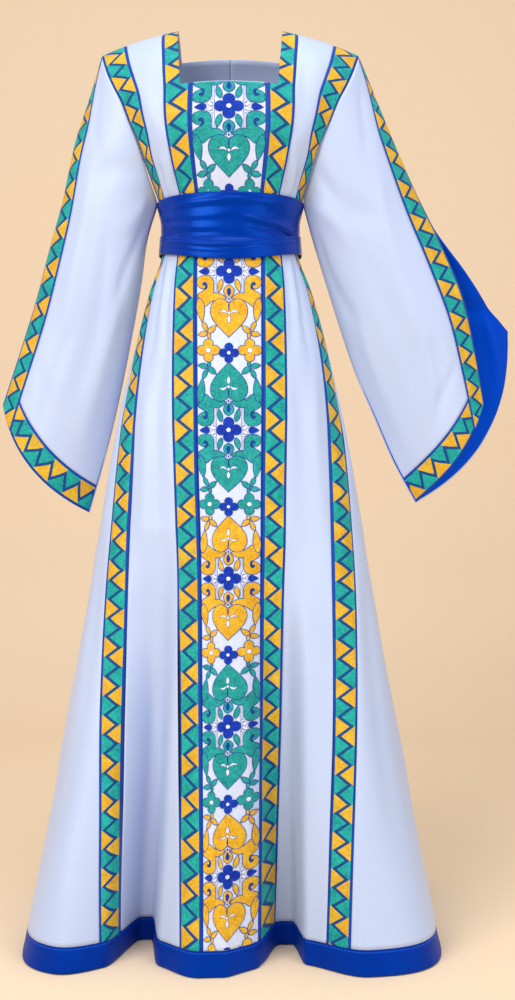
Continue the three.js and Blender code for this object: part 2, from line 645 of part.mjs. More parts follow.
// The curve across one half of a sleeve at t, from the over-arm edge to the underarm fold.
function sleeveLine(sleeve, half, t) {
  const { side, sections, rounds, bow, open } = sleeve;
  const row = read(sections, 't', t);
  const front = half === 'front';
  const parted = front ? 0 : Math.max(0, (t - SPLIT) / (1 - SPLIT));
  const over = [
    side * (row.overX + open.x * parted ** OPEN_BEND.x),
    open.y * parted ** OPEN_BEND.y,
    row.overZ + open.z * parted ** OPEN_BEND.z,
  ];
  const under = [side * row.underX, 0, row.underZ];
  const deep = front ? -row.frontDeep : row.backDeep;
  const round = clamp(read(rounds, 't', t)[half], 0, 1);
  // The cuff bows out square to its own slant.
  const out = bow[half] * smooth((t - BOW_START) / (1 - BOW_START));
  const slant = Math.hypot(over[0] - under[0], over[2] - under[2]);
  const bowX = (side * out * (over[2] - under[2])) / slant;
  const bowZ = (-out * Math.abs(over[0] - under[0])) / slant;
  const points = [];
  for (let k = 0; k <= 80; k += 1) {
    const angle = (Math.PI * k) / 80;
    const w = 1 - mix(k / 80, (1 - Math.cos(angle)) / 2, round);
    const bulge = Math.sin(angle);
    points.push(
      new THREE.Vector3(
        mix(under[0], over[0], w) + bowX * bulge,
        mix(under[1], over[1], w) + deep * bulge,
        mix(under[2], over[2], w) + bowZ * bulge,
      ),
    );
  }
  return measured(points);
}

const loops = new Map();
function loopOf(sleeve, half) {
  const key = `${sleeve.side}${half}`;
  if (!loops.has(key)) {
    const corners = armhole(sleeve.side, half);
    const points = corners.map((corner) => corner.p.clone());
    loops.set(key, { corners, points: measured(points) });
  }
  return loops.get(key);
}

// A point of a sleeve's outer face: u runs from the over-arm edge to the underarm, t to the cuff.
function sleevePoint(sleeve, half, u, t) {
  const line = sleeveLine(sleeve, half, t);
  const p = pointAt(line, u * line[line.length - 1].along);
  const fade = smooth(t / LOOP_BLEND);
  if (fade >= 1) return p;
  const loop = loopOf(sleeve, half).points;
  const start = sleeveLine(sleeve, half, 0);
  const from = pointAt(start, u * start[start.length - 1].along);
  const shift = pointAt(loop, u * loop[loop.length - 1].along).sub(from);
  return p.addScaledVector(shift, 1 - fade);
}

function sleeveCorner(sleeve, half, u, t) {
  const corner = ownCorner(sleeve, half, u, t);
  // Where the two halves are sewn together they share one normal, so that their walls meet in a mitre.
  const sewn = u > 0.99 ? 1 : u < 0.01 ? 1 - smooth((t - SPLIT) / 0.3) : 0;
  if (sewn > 0) {
    const other = ownCorner(sleeve, half === 'front' ? 'back' : 'front', Math.round(u), t).n;
    corner.n.lerp(other, sewn / 2).normalize();
  }
  return corner;
}

function ownCorner(sleeve, half, u, t) {
  const p = sleevePoint(sleeve, half, u, t);
  const du = 0.004;
  const dt = 0.004;
  const at = (uAt, tAt) => sleevePoint(sleeve, half, clamp(uAt, 0, 1), clamp(tAt, 0, 1));
  const across = at(u + du, t).sub(at(u - du, t));
  const down = at(u, t + dt).sub(at(u, t - dt));
  const n = across.cross(down).normalize();
  const out = half === 'front' ? sleeve.side : -sleeve.side;
  return { p, n: n.multiplyScalar(out) };
}

// Where a sleeve's columns lie at t: at the armhole on the body's own corners, then by even shares.
function sleeveColumns(sleeve, half, t) {
  const { corners } = loopOf(sleeve, half);
  const line = sleeveLine(sleeve, half, t);
  const width = line[line.length - 1].along;
  const count = corners.length - 1;
  const band = [0, SLEEVE_BAND / 2, SLEEVE_BAND];
  return corners.map((corner, k) => {
    const wanted = k <= 2 ? band[k] / width : mix(SLEEVE_BAND / width, 1, (k - 2) / (count - 2));
    return mix(corner.share, wanted, smooth(t / 0.2));
  });
}

// The first row of a sleeve piece lies along the armhole, just clear of the body's edge.
function armholeRow(sleeve, half, columns) {
  const { corners } = loopOf(sleeve, half);
  return columns.map((u, k) => {
    const own = sleeveCorner(sleeve, half, u, 0.03);
    const corner = corners[k];
    const low = smooth((0.55 - (1 - corner.share)) / 0.4);
    const away = own.p.clone().sub(corner.p).normalize();
    const p = corner.p.clone().addScaledVector(away, mix(SEAM, 2.2, low));
    p.x += sleeve.side * 2.4 * low;
    p.z += 1.2 * low;
    const n = corner.n.clone().lerp(own.n, low).normalize();
    return { p, n };
  });
}

const cuffStart = ({ sections }) => {
  const [a, b] = [sections[0], sections[sections.length - 1]];
  return 1 - CUFF_BAND / Math.hypot(a.overX - b.overX, a.overZ - b.overZ);
};

// Half a sleeve: a lattice over u and t, with the seam gaps taken off its edges.
function sleeveLattice(sleeve, half, rows, first, last) {
  return rows.map((t) => {
    const line = sleeveLine(sleeve, half, Math.max(t, 0));
    const gap = SEAM / 2 / line[line.length - 1].along;
    const columns = sleeveColumns(sleeve, half, Math.max(t, 0)).slice(first, last + 1);
    columns[0] += gap;
    columns[columns.length - 1] -= gap;
    if (t > 0) return columns.map((u) => sleeveCorner(sleeve, half, u, t));
    const all = sleeveColumns(sleeve, half, 0);
    const row = armholeRow(sleeve, half, all);
    const cutRow = row.slice(first, last + 1);
    // The gap at the row's two ends, along the row.
    const nudge = (k, towards, amount) => {
      const step = row[towards].p.clone().sub(row[k].p).normalize().multiplyScalar(amount);
      return { p: row[k].p.clone().add(step), n: row[k].n };
    };
    cutRow[0] = nudge(first, first + 1, SEAM / 2);
    cutRow[cutRow.length - 1] = nudge(last, last - 1, SEAM / 2);
    return cutRow;
  });
}

function sleeves() {
  for (const [name, sleeve] of Object.entries(SLEEVES)) {
    const cuff = cuffStart(sleeve);
    const seamT = SEAM / 2 / SLEEVE_LENGTH;
    const body = [0, ...SLEEVE_ROWS];
    const lastFront = loopOf(sleeve, 'front').corners.length - 1;
    const lastBack = loopOf(sleeve, 'back').corners.length - 1;
    const pieces = [
      [`sleeve_front_${name}`, 'front', [...body, cuff - seamT], 2, lastFront, CLOTH, MATERIALS.cloth],
      [`sleeve_band_${name}`, 'front', [...body, cuff, 1], 0, 2, CLOTH, MATERIALS.zigzag],
      [`cuff_band_${name}`, 'front', [cuff + seamT, 1], 2, lastFront, CLOTH, MATERIALS.zigzag],
      [`sleeve_back_${name}`, 'back', [...body, cuff, 1], 0, lastBack, CLOTH, MATERIALS.cloth],
    ];
    for (const [piece, half, rows, first, last, thick, finish] of pieces) {
      model.add(wall(piece, sleeveLattice(sleeve, half, rows, first, last), thick, finish));
    }
    // The lining lies inside both halves: its points are the sleeve's own, moved in.
    for (const half of ['front', 'back']) {
      const rows = [LINING_TOP, ...SLEEVE_ROWS.filter((t) => t > LINING_TOP + 0.03), cuff, 0.996];
      const count = half === 'front' ? lastFront : lastBack;
      const lattice = sleeveLattice(sleeve, half, rows, 0, count).map((row) =>
        row.map(({ p, n }) => ({ p: p.addScaledVector(n, -(CLOTH + SEAM)), n })),
      );
      model.add(wall(`sleeve_lining_${half}_${name}`, lattice, LINING, MATERIALS.blue));
    }
  }
}

// ---------------------------------------------------------------- the sash
// One turn of the sash: a closed ring whose points are the dress's own, moved out.
function sashTurn(name, profile, lower, upper) {
  const ups = range(profile.length * 2 - 2);
  const places = range(SASH_COLUMNS).slice(0, -1);
  const lattice = ups.map((up) =>
    places.map((turn) => {
      const face = turn < 0.5 ? 'front' : 'back';
      const share = (turn < 0.5 ? turn : 1 - turn) * 2;
      const facing = face === 'front' ? Math.sin(Math.PI * share) ** 2 : 0;
      const z = mix(lower(facing), upper(facing), up);
      const low = reach(face, z, -1);
      const high = reach(face, z, 1);
      const { p, n } = bodyCorner(face, z, mix(low, high, share));
      return { p: p.addScaledVector(n, read(profile, 'up', up).out), n };
    }),
  );
  model.add(wall(name, lattice, SASH_CLOTH, MATERIALS.blue, { closed: true }));
}

function sash() {
  const dip = (facing) => mix(SASH_DIP_SIDE, SASH_DIP_FRONT, facing);
  sashTurn('sash_upper_turn', UPPER_TURN, (facing) => dip(facing) + SASH_LAP, () => SASH_TOP);
  sashTurn('sash_lower_turn', LOWER_TURN, dip, (facing) => dip(facing) + LOWER_TURN_HEIGHT);
}

frontPanels();
backPanels();
hemBands();
sleeves();
sash();
model.position.z = -SHOULDER_HEIGHT;

export default model;
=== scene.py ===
# A full-length jalabiya in its worn, hollow shape: a banded and flowered dress with split bell sleeves,
# blue sleeve linings, a blue hem band and a blue waist sash wound in two turns.
import math

import bmesh
import bpy
import numpy as np
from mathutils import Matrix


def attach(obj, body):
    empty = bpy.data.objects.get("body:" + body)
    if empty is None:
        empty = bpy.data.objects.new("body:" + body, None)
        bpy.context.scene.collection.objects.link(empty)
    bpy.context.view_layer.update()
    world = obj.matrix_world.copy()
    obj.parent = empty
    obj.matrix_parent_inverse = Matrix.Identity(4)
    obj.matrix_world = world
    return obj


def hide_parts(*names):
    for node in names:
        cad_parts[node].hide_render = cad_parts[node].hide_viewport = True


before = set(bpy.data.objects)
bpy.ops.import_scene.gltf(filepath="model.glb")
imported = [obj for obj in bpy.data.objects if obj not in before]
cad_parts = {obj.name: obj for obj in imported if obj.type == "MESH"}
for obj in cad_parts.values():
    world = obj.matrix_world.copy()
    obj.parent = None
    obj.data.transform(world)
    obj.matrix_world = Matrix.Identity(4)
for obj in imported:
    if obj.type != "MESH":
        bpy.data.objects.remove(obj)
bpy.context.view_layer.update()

# ---------------------------------------------------------------- centre front panel
# The flowered panel down the middle of the front, from the hem band to the square neckline. Pale satin,
# embroidered, sewn between the two zigzag bands. Its surface is the dress body's, shared by every panel.
SHOULDER_HEIGHT = 1460.0
ARMPIT = 1175.0
NECKLINE = 1342.0
BACK_NECK = 1435.0
SHOULDER = 1467.0
HEM_BAND = 36.0
SEAM = 0.3
CLOTH = 1.5
METRE = 1000
BODICE_SQUARE = 2.3
# how far across the band beside the panel the neckline is cut
NECK_SHARE = 0.4
# how far a fold drifts to the middle as it runs out, and how much wider its slopes grow
FOLD_DRIFT = 0.14
FOLD_WIDENS = 24
# width over which a seamed edge turns in
SEAM_ROLL = 1.6
SIDES = (("right", -1), ("left", 1))
# height, half width on the wearer's right and left, front depth, back depth, squareness
SKIRT = np.array([
    (0, 315, 327, 284, 262, 5.6), (90, 300, 311, 270, 252, 4.9), (230, 273, 284, 248, 232, 4.0),
    (380, 253, 261, 222, 210, 3.4), (550, 228, 234, 192, 185, 2.9), (640, 212, 217, 176, 170, 2.7),
    (730, 198, 202, 161, 155, 2.55), (800, 184.5, 189, 149, 143, 2.45), (883, 167, 171, 136, 130, 2.4),
    (955, 151, 154, 124, 116, 2.3), (1024, 133, 134.5, 112, 98, 2.25), (1075, 115, 115, 103, 85, 2.2),
    (1105, 108.5, 108.5, 99, 79, 2.2), (1145, 110, 110, 97, 79, 2.2), (1175, 118, 118, 100, 84, 2.2),
])
# height, fall at the arm, front depth, half width, depth share at the armhole, the same three of the back
BODICE = np.array([
    (1175, 0, 100, 116.4, 0.2, 84, 118, 0), (1203, 2, 112, 126, 0.36, 90, 128, 0.33),
    (1235, 5, 121, 136, 0.46, 97, 138, 0.47), (1270, 9, 125, 148, 0.54, 103, 150, 0.55),
    (1305, 14, 121, 162, 0.59, 107, 163, 0.58), (1342, 19, 111, 175, 0.62, 108, 175, 0.57),
    (1375, 26, 96, 188, 0.63, 103, 188, 0.55), (1408, 34, 77, 199, 0.62, 90, 199, 0.51),
    (1435, 40, 54, 206, 0.61, 68, 206, 0.47), (1455, 45, 29, 210.5, 0.62, 40, 210.5, 0.45),
    (1467, 49, 0, 212, 0.62, 0, 212, 0.45),
])
# height, edge of the flowered panel, of the band beside it, of the gore and of the princess band
CUT_LINES = {
    -1: np.array([
        (0, 35, 68.5, 165, 189), (163, 36, 71, 168, 197), (362, 39, 74.5, 170, 207),
        (587, 42.5, 81, 168, 211), (740, 48, 86.5, 161, 208), (900, 51, 91, 156.5, 202),
        (1020, 53, 92, 147, 184), (1075, 53, 90, 133, 164), (1120, 52, 86, 120, 151),
    ]),
    1: np.array([
        (0, 47, 72, 144, 178), (163, 48, 76.5, 152, 186), (362, 50.5, 84.5, 162, 199),
        (587, 52, 90, 166, 212), (740, 52.5, 91.5, 167, 216), (900, 53, 92.5, 165, 210),
        (1020, 53, 92, 149.5, 185), (1075, 53, 90, 133, 164), (1120, 52, 86, 120, 151),
    ]),
}
# height, edge of the flowered panel, of the band beside it, width of the princess band
BODICE_CUTS = np.array([
    (1175, 52, 85, 30), (1203, 55, 91, 26), (1235, 58, 98, 23), (1270, 60, 103, 28), (1305, 60, 105, 33),
    (1342, 59, 105, 38), (1375, 59, 107, 41), (1408, 59, 109, 43), (1435, 59, 111, 44), (1455, 59, 112, 45),
    (1467, 59, 112, 45),
])
NECK = np.array([(1342, 77), (1375, 79.5), (1435, 84), (1467, 85.5)])
# face or side, place, floor, width of each slope, depth, height where the fold runs out
FOLDS = [
    ("front", -132, 20, 110, 80, 60, 800), ("front", -132, 18, 42, 20, 104, 640),
    ("front", 89, 22, 90, 105, 58, 810), ("front", 89, 22, 32, 16, 84, 620),
    (1, 6, 30, 95, 80, 52, 640), (-1, -8, 26, 85, 95, 56, 600),
    ("back", -158, 20, 90, 76, 50, 820), ("back", -158, 16, 40, 24, 62, 600),
    ("back", 12, 24, 60, 84, 46, 720), ("back", 12, 16, 22, 40, 50, 560),
    ("back", 168, 18, 70, 80, 56, 850), ("back", 168, 16, 26, 34, 60, 640),
]
RING_HALF = 420
RING = np.arange(-RING_HALF, RING_HALF + 1) / RING_HALF


def table_at(table, place):
    """A row of a table at any place in it, on a smooth curve through its rows."""
    keys = table[:, 0]
    last = len(keys) - 1
    i = min(max(int(np.searchsorted(keys, place, side="right")) - 1, 0), last - 1)
    a, b, before, after = table[i], table[i + 1], table[max(i - 1, 0)], table[min(i + 2, last)]
    gap = keys[i + 1] - keys[i]
    t = min(max((place - a[0]) / gap, 0.0), 1.0)
    rise = (b - before) / (b[0] - before[0]) * gap
    fall = (after - a) / (after[0] - a[0]) * gap
    smooth_a, smooth_b = 2 * t**3 - 3 * t**2 + 1, 3 * t**2 - 2 * t**3
    return smooth_a * a + (t**3 - 2 * t**2 + t) * rise + smooth_b * b + (t**3 - t**2) * fall


def smooth(t):
    """A share from 0 to 1 that starts and ends gently."""
    t = np.clip(t, 0.0, 1.0)
    return t * t * (3 - 2 * t)


def super_arc(share, square):
    """The rise of a rounded square's edge at a share of its half width."""
    return np.maximum(0.0, 1 - np.abs(share) ** square) ** (1 / square)


def along(x, y, z):
    """The length run along a line of points."""
    step = np.sqrt(np.diff(x) ** 2 + np.diff(y) ** 2 + np.diff(z) ** 2)
    return np.concatenate(([0.0], np.cumsum(step)))


def fold_depth(z, front, s, end):
    """How far the skirt's folds push a ring in at a height, at distances s from its centre."""
    depth = np.zeros_like(s)
    for on, at, floor, minus, plus, deep, top in FOLDS:
        if z >= top or on == ("back" if front else "front"):
            continue
        share = (top - z) / top
        place = s if isinstance(on, str) else (end - np.abs(s)) * (-1 if front else 1)
        away = place - at * (1 - FOLD_DRIFT * (1 - share))
        slope = np.where(away < 0, minus, plus) + FOLD_WIDENS * (1 - share)
        dip = deep * share * smooth(1 - (np.abs(away) - floor / 2) / slope)
        if not isinstance(on, str):
            dip = np.where((s > 0) == (on > 0), dip, 0.0)
        depth += dip
    return depth


rings = {}


def ring(z, front):
    """Half a ring of the body at a height: distance from the centre along the undraped cloth, and x, y, z."""
    key = (round(z, 3), front)
    if key in rings:
        return rings[key]
    if z >= ARMPIT:
        _, drop, front_deep, front_edge, front_share, back_deep, back_edge, back_share = table_at(BODICE, z)
        half = (front_deep, front_edge, front_share) if front else (back_deep, back_edge, back_share)
        deep, edge, share = half
        wide = edge / super_arc(min(max(share, 0.0), 0.99), BODICE_SQUARE)
        x = wide * np.sin(math.asin(min(edge / wide, 1.0)) * RING)
        y = deep * super_arc(x / wide, BODICE_SQUARE) * (-1 if front else 1)
        height = z - drop * (x / edge) ** 2
        s = along(x, y, height)
        s -= s[RING_HALF]
    else:
        _, half_right, half_left, front_deep, back_deep, square = table_at(SKIRT, z)
        angle = np.pi / 2 * RING
        x = np.where(RING < 0, half_right, half_left) * np.sign(RING) * np.abs(np.sin(angle)) ** (2 / square)
        deep = front_deep if front else back_deep
        y = deep * np.abs(np.cos(angle)) ** (2 / square) * (-1 if front else 1)
        height = np.full_like(x, z)
        s = along(x, y, height)
        s -= s[RING_HALF]
        step_x = np.concatenate(([x[1] - x[0]], x[2:] - x[:-2], [x[-1] - x[-2]]))
        step_y = np.concatenate(([y[1] - y[0]], y[2:] - y[:-2], [y[-1] - y[-2]]))
        length = np.hypot(step_x, step_y)
        turn = 1 if front else -1
        inward_x, inward_y = -step_y / length * turn, step_x / length * turn
        inward_x[0], inward_x[-1], inward_y[0], inward_y[-1] = 1, -1, 0, 0
        dip = fold_depth(z, front, s, s[-1])
        x, y = x + inward_x * dip, y + inward_y * dip
    rings[key] = (s, x, y, height)
    return rings[key]


def front_cuts(z, side):
    """Distances from the centre front to each cut line: panel, neck, band, gore, princess band, side seam."""
    end = abs(ring(z, True)[0][-1])
    if z < ARMPIT:
        top = BODICE_CUTS[0]
        edge = ring(ARMPIT, True)[0][-1]
        lines = np.vstack([CUT_LINES[side], (ARMPIT, top[1], top[2], edge - top[3], edge)])
        _, centre, trim, gore, band = table_at(lines, z)
        return centre, centre + NECK_SHARE * (trim - centre), trim, gore, band, end
    _, centre, trim, band = table_at(BODICE_CUTS, z)
    neck = centre + NECK_SHARE * (trim - centre)
    if z >= NECKLINE:
        s, x = ring(z, True)[:2]
        neck = float(np.interp(table_at(NECK, z)[1], x, s))
    return centre, neck, trim, end - band, end, end


def heights(low, high, step=6.0, fixed=()):
    """Rows from one height to another, a few millimetres apart, with the fixed ones among them."""
    stops = sorted({low, high, *[f for f in fixed if low < f < high]})
    rows = []
    for a, b in zip(stops, stops[1:]):
        rows += list(np.linspace(a, b, max(2, math.ceil((b - a) / step) + 1))[:-1])
    return np.array(rows + [high])


def across(a, b, step=6.0):
    """Places across a piece, closer together beside its two seams, as shares from one to the other."""
    width = abs(b - a)
    count = max(3, math.ceil(width / step))
    inner = np.linspace(3.0 / width, 1 - 3.0 / width, count)
    return np.concatenate(([0, 1.2 / width], inner, [1 - 1.2 / width, 1]))


def on_body(front, rows, distances):
    """Points of the body's outer face: a row of them for each height, at distances from the centre."""
    points = np.empty(distances.shape + (3,))
    for i, z in enumerate(rows):
        s, x, y, height = ring(float(z), front)
        for k, values in enumerate((x, y, height)):
            points[i, :, k] = np.interp(distances[i], s, values)
    return points


def outward(points, facing):
    """The cloth's own outward direction at every point of a grid."""
    n = np.cross(np.gradient(points, axis=1), np.gradient(points, axis=0)) * facing
    return n / np.maximum(np.linalg.norm(n, axis=2, keepdims=True), 1e-9)


def crease_course(flat_x, flat_y, x0, y0, x1, y1, bend):
    """How far along a crease each point lies, as a share of its length, and how far to its side."""
    length = math.hypot(x1 - x0, y1 - y0)
    ux, uy = (x1 - x0) / length, (y1 - y0) / length
    t = ((flat_x - x0) * ux + (flat_y - y0) * uy) / length
    away = (flat_x - x0) * -uy + (flat_y - y0) * ux - bend * np.sin(np.pi * np.clip(t, 0, 1))
    return t, away


def creased(points, facing, flat_x, flat_y, creases, seam_dip=0.7):
    """Moves a grid's points in for troughs and out for ridges. A crease is from x, y to x, y on the flat
    piece, its width, its depth, and how far it bends. The seamed edges turn in a little."""
    depth = np.zeros(points.shape[:2])
    for x0, y0, x1, y1, width, deep, bend in creases:
        t, away = crease_course(flat_x, flat_y, x0, y0, x1, y1, bend)
        spread = width * (0.75 + 0.5 * np.clip(t, 0, 1))
        depth += deep * np.exp(-((away / spread) ** 2)) * smooth((t + 0.12) / 0.3) * smooth((1.1 - t) / 0.42)
    width = np.linalg.norm(np.diff(points, axis=1), axis=2).cumsum(axis=1)
    left = np.concatenate((np.zeros((len(points), 1)), width), axis=1)
    for from_seam in (left, left[:, -1:] - left):
        depth += seam_dip * np.exp(-((from_seam / SEAM_ROLL) ** 2))
    return points - outward(points, facing) * depth[..., None]


def cloth(name, points, facing, thick, flat_u, flat_v, materials, drop=None, closed=False):
    """A piece of cloth from a grid of points, in millimetres above the hem, given its thickness inwards."""
    rows, columns = points.shape[:2]
    if closed:
        points = np.concatenate((points, points[:, :1]), axis=1)
        columns += 1
    bm = bmesh.new()
    bmesh.ops.create_grid(bm, x_segments=columns - 1, y_segments=rows - 1, size=0.5)
    if facing < 0:
        bmesh.ops.reverse_faces(bm, faces=bm.faces)
    mesh = bpy.data.meshes.new(name)
    bm.to_mesh(mesh)
    bm.free()
    flat = np.empty(len(mesh.vertices) * 3)
    mesh.vertices.foreach_get("co", flat)
    flat = flat.reshape(-1, 3)
    column = np.rint((flat[:, 0] + 0.5) * (columns - 1)).astype(int)
    row = np.rint((flat[:, 1] + 0.5) * (rows - 1)).astype(int)
    placed = points[row, column] / METRE
    placed[:, 2] -= SHOULDER_HEIGHT / METRE
    mesh.vertices.foreach_set("co", placed.ravel())
    corner = np.empty(len(mesh.loops), dtype=int)
    mesh.loops.foreach_get("vertex_index", corner)
    uv = np.stack((flat_u[row, column][corner], flat_v[row, column][corner]), axis=1)
    mesh.uv_layers.new(name="cloth").data.foreach_set("uv", uv.ravel())
    bm = bmesh.new()
    bm.from_mesh(mesh)
    if drop is not None:
        gone = [f for f in bm.faces if all(drop[row[v.index], column[v.index]] for v in f.verts)]
        bmesh.ops.delete(bm, geom=gone, context="FACES")
    if closed:
        bmesh.ops.remove_doubles(bm, verts=bm.verts, dist=1e-6)
    for f in bm.faces:
        f.smooth = True
    bm.to_mesh(mesh)
    bm.free()
    mesh.update()
    for material in materials:
        mesh.materials.append(material)
    piece = bpy.data.objects.new(name, mesh)
    bpy.context.collection.objects.link(piece)
    shell = piece.modifiers.new("thickness", "SOLIDIFY")
    shell.thickness = thick / METRE
    shell.offset = -1
    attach(piece, "root")
    return piece


def node(material, kind, values=None, links=None):
    """Adds a shader node, sets its plain sockets and wires the others."""
    tree = material.node_tree
    made = tree.nodes.new(kind)
    for socket, value in (values or {}).items():
        made.inputs[socket].default_value = value
    for socket, source in (links or {}).items():
        tree.links.new(source, made.inputs[socket])
    return made


def maths(material, operation, a, b=None, c=None):
    """A step of arithmetic on numbers or on other nodes' values."""
    made = material.node_tree.nodes.new("ShaderNodeMath")
    made.operation = operation
    for k, value in enumerate((a, b, c)):
        if value is None:
            continue
        if isinstance(value, (int, float)):
            made.inputs[k].default_value = value
        else:
            material.node_tree.links.new(value, made.inputs[k])
    return made.outputs[0]


def blended(material, share, a, b):
    """A mix of two colours, by a share from 0 to 1."""
    made = material.node_tree.nodes.new("ShaderNodeMix")
    made.data_type = "RGBA"
    for socket, value in ((made.inputs["Factor"], share), (made.inputs["A"], a), (made.inputs["B"], b)):
        if isinstance(value, (int, float, tuple)):
            socket.default_value = value
        else:
            material.node_tree.links.new(value, socket)
    return made.outputs["Result"]


def shade(red, green, blue):
    """A colour as a dyer's chart gives it, 0 to 255, as the shader wants it."""
    parts = [((c / 255 + 0.055) / 1.055) ** 2.4 if c > 10 else c / 255 / 12.92 for c in (red, green, blue)]
    return (*parts, 1.0)


def noise(material, vector, scale, detail=2.0, roughness=0.5):
    made = node(material, "ShaderNodeTexNoise", {"Scale": scale, "Detail": detail, "Roughness": roughness},
                {"Vector": vector})
    return made.outputs["Fac"]


def fresh(name, roughness, sheen, tint, gloss=0.5):
    """A new material with its shader: an object-space vector and the shader come back with it."""
    material = bpy.data.materials.new(name)
    material.use_nodes = True
    shader = material.node_tree.nodes["Principled BSDF"]
    shader.inputs["Roughness"].default_value = roughness
    shader.inputs["Specular IOR Level"].default_value = gloss
    shader.inputs["Specular Tint"].default_value = tint
    shader.inputs["Sheen Weight"].default_value = sheen
    shader.inputs["Sheen Roughness"].default_value = 0.4
    shader.inputs["Sheen Tint"].default_value = tint
    place = material.node_tree.nodes.new("ShaderNodeTexCoord").outputs["Object"]
    return material, shader, place


def own_map(material):
    """Across and along the piece, from its own flat map."""
    uv = material.node_tree.nodes.new("ShaderNodeUVMap")
    uv.uv_map = "cloth"
    parts = node(material, "ShaderNodeSeparateXYZ", links={"Vector": uv.outputs["UV"]})
    return parts.outputs["X"], parts.outputs["Y"]


def bumped(material, shader, height, strength, distance, under=None):
    """Raises a finish by a height, on top of an earlier relief where one is given."""
    made = node(material, "ShaderNodeBump", {"Strength": strength, "Distance": distance}, {"Height": height})
    if under is not None:
        material.node_tree.links.new(under, made.inputs["Normal"])
    material.node_tree.links.new(made.outputs["Normal"], shader.inputs["Normal"])
    return made.outputs["Normal"]


def weave(material, place, threads_per_metre):
    """Fine crossing threads, a little uneven, as a height from 0 to 1."""
    slubs = noise(material, place, 240, 2)
    lines = []
    for axis in ("X", "Z"):
        wave = node(material, "ShaderNodeTexWave", {"Scale": threads_per_metre / 20, "Distortion": 0.6,
                    "Detail": 1.0, "Detail Scale": 2.0}, {"Vector": place})
        wave.wave_type = "BANDS"
        wave.bands_direction = axis
        lines.append(wave.outputs["Fac"])
    crossed = maths(material, "MULTIPLY_ADD", lines[0], 0.35, maths(material, "MULTIPLY", lines[1], 0.35))
    return maths(material, "MULTIPLY_ADD", slubs, 0.5, crossed)


# The panel's pale satin ground, a shade more lilac than the dress, with a blue line down each edge.
# The line starts at this share of the width from the middle.
PANEL_EDGE = 0.477
panel_ground, panel_shader, panel_place = fresh("flowered_ground", 0.55, 0.12, (0.85, 0.9, 1.0, 1.0), 0.4)
panel_across = own_map(panel_ground)[0]
panel_off_middle = maths(panel_ground, "ABSOLUTE", maths(panel_ground, "SUBTRACT", panel_across, 0.5))
panel_edge = maths(panel_ground, "GREATER_THAN", panel_off_middle, PANEL_EDGE)
panel_mottle = noise(panel_ground, panel_place, 160, 3, 0.7)
panel_pale = blended(panel_ground, panel_mottle, shade(184, 197, 232), shade(226, 232, 250))
panel_blue = blended(panel_ground, panel_mottle, shade(2, 44, 140), shade(14, 74, 190))
panel_colour = blended(panel_ground, panel_edge, panel_pale, panel_blue)
panel_ground.node_tree.links.new(panel_colour, panel_shader.inputs["Base Color"])
bumped(panel_ground, panel_shader, weave(panel_ground, panel_place, 1600), 0.3, 0.0004)

panel_rows = heights(HEM_BAND + SEAM / 2, NECKLINE, 5.0)
panel_shares = np.concatenate(([0, 0.01], np.linspace(0.025, 0.975, 27), [0.99, 1]))
panel_from = np.array([-front_cuts(z, -1)[0] + SEAM / 2 for z in panel_rows])
panel_to = np.array([front_cuts(z, 1)[0] - SEAM / 2 for z in panel_rows])
panel_s = panel_from[:, None] + (panel_to - panel_from)[:, None] * panel_shares
panel_points = on_body(True, panel_rows, panel_s)
# from distance and height to distance and height, width, depth, bend
PANEL_CREASES = [
    (-30, 1176, -24, 1262, 7, 1.6, 3), (34, 1176, 26, 1248, 8, 1.5, -3), (4, 1174, 6, 1215, 9, -0.9, 2),
    (-20, 1060, -28, 930, 9, 1.3, 4), (26, 1062, 34, 900, 11, 1.4, -5), (10, 900, -6, 640, 20, -1.8, 8),
    (-26, 560, -30, 300, 18, 1.8, 6), (30, 420, 24, 90, 20, -2.0, -8),
]
panel_points = creased(panel_points, 1, panel_s, panel_rows[:, None], PANEL_CREASES)
panel_flat_u = np.broadcast_to(panel_shares, panel_s.shape)
panel_flat_v = np.broadcast_to(panel_rows[:, None] / 100, panel_s.shape)
centre_panel = cloth("flowered_centre_panel", panel_points, 1, CLOTH, panel_flat_u, panel_flat_v,
                     [panel_ground])
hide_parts("front_centre_panel")

# The embroidery: satin-stitched arabesques with couched navy outlines. Each shape is drawn flat, given its
# outline by an inset, cut into small facets and laid on the panel. x runs from the centre, y from the flower.
PANEL_HALF = 47.0
UNIT_HALF = 113.0
OUTLINE = 1.0
WHITE_OUTLINE = 0.5
# height of the lowest threads over the panel, and what each layer adds
THREAD_BASE = 0.45
THREAD_LAYER = 0.11
# bare edge left beside each seam, and the room for the design above the first flower and below the last
EDGE_MARGIN = 1.8
ABOVE_FIRST = 255
BELOW_LAST = 212
GROUND_THREAD, GOLD_THREAD, TEAL_THREAD, BLUE_THREAD, WHITE_THREAD = range(5)
# height of each main flower above the hem, and the thread of its palmettes
FLOWERS = [
    (1299, TEAL_THREAD), (1044, GOLD_THREAD), (792, TEAL_THREAD), (566, GOLD_THREAD), (349, TEAL_THREAD),
    (137, GOLD_THREAD),
]


def stitches(material, place, scale, distortion):
    """Short slanting satin stitches, as a height from 0 to 1."""
    stitch = node(material, "ShaderNodeTexWave", {"Scale": scale, "Distortion": distortion, "Detail": 2.0,
                  "Detail Scale": 3.0}, {"Vector": place})
    stitch.bands_direction = "DIAGONAL"
    return stitch.outputs["Fac"]


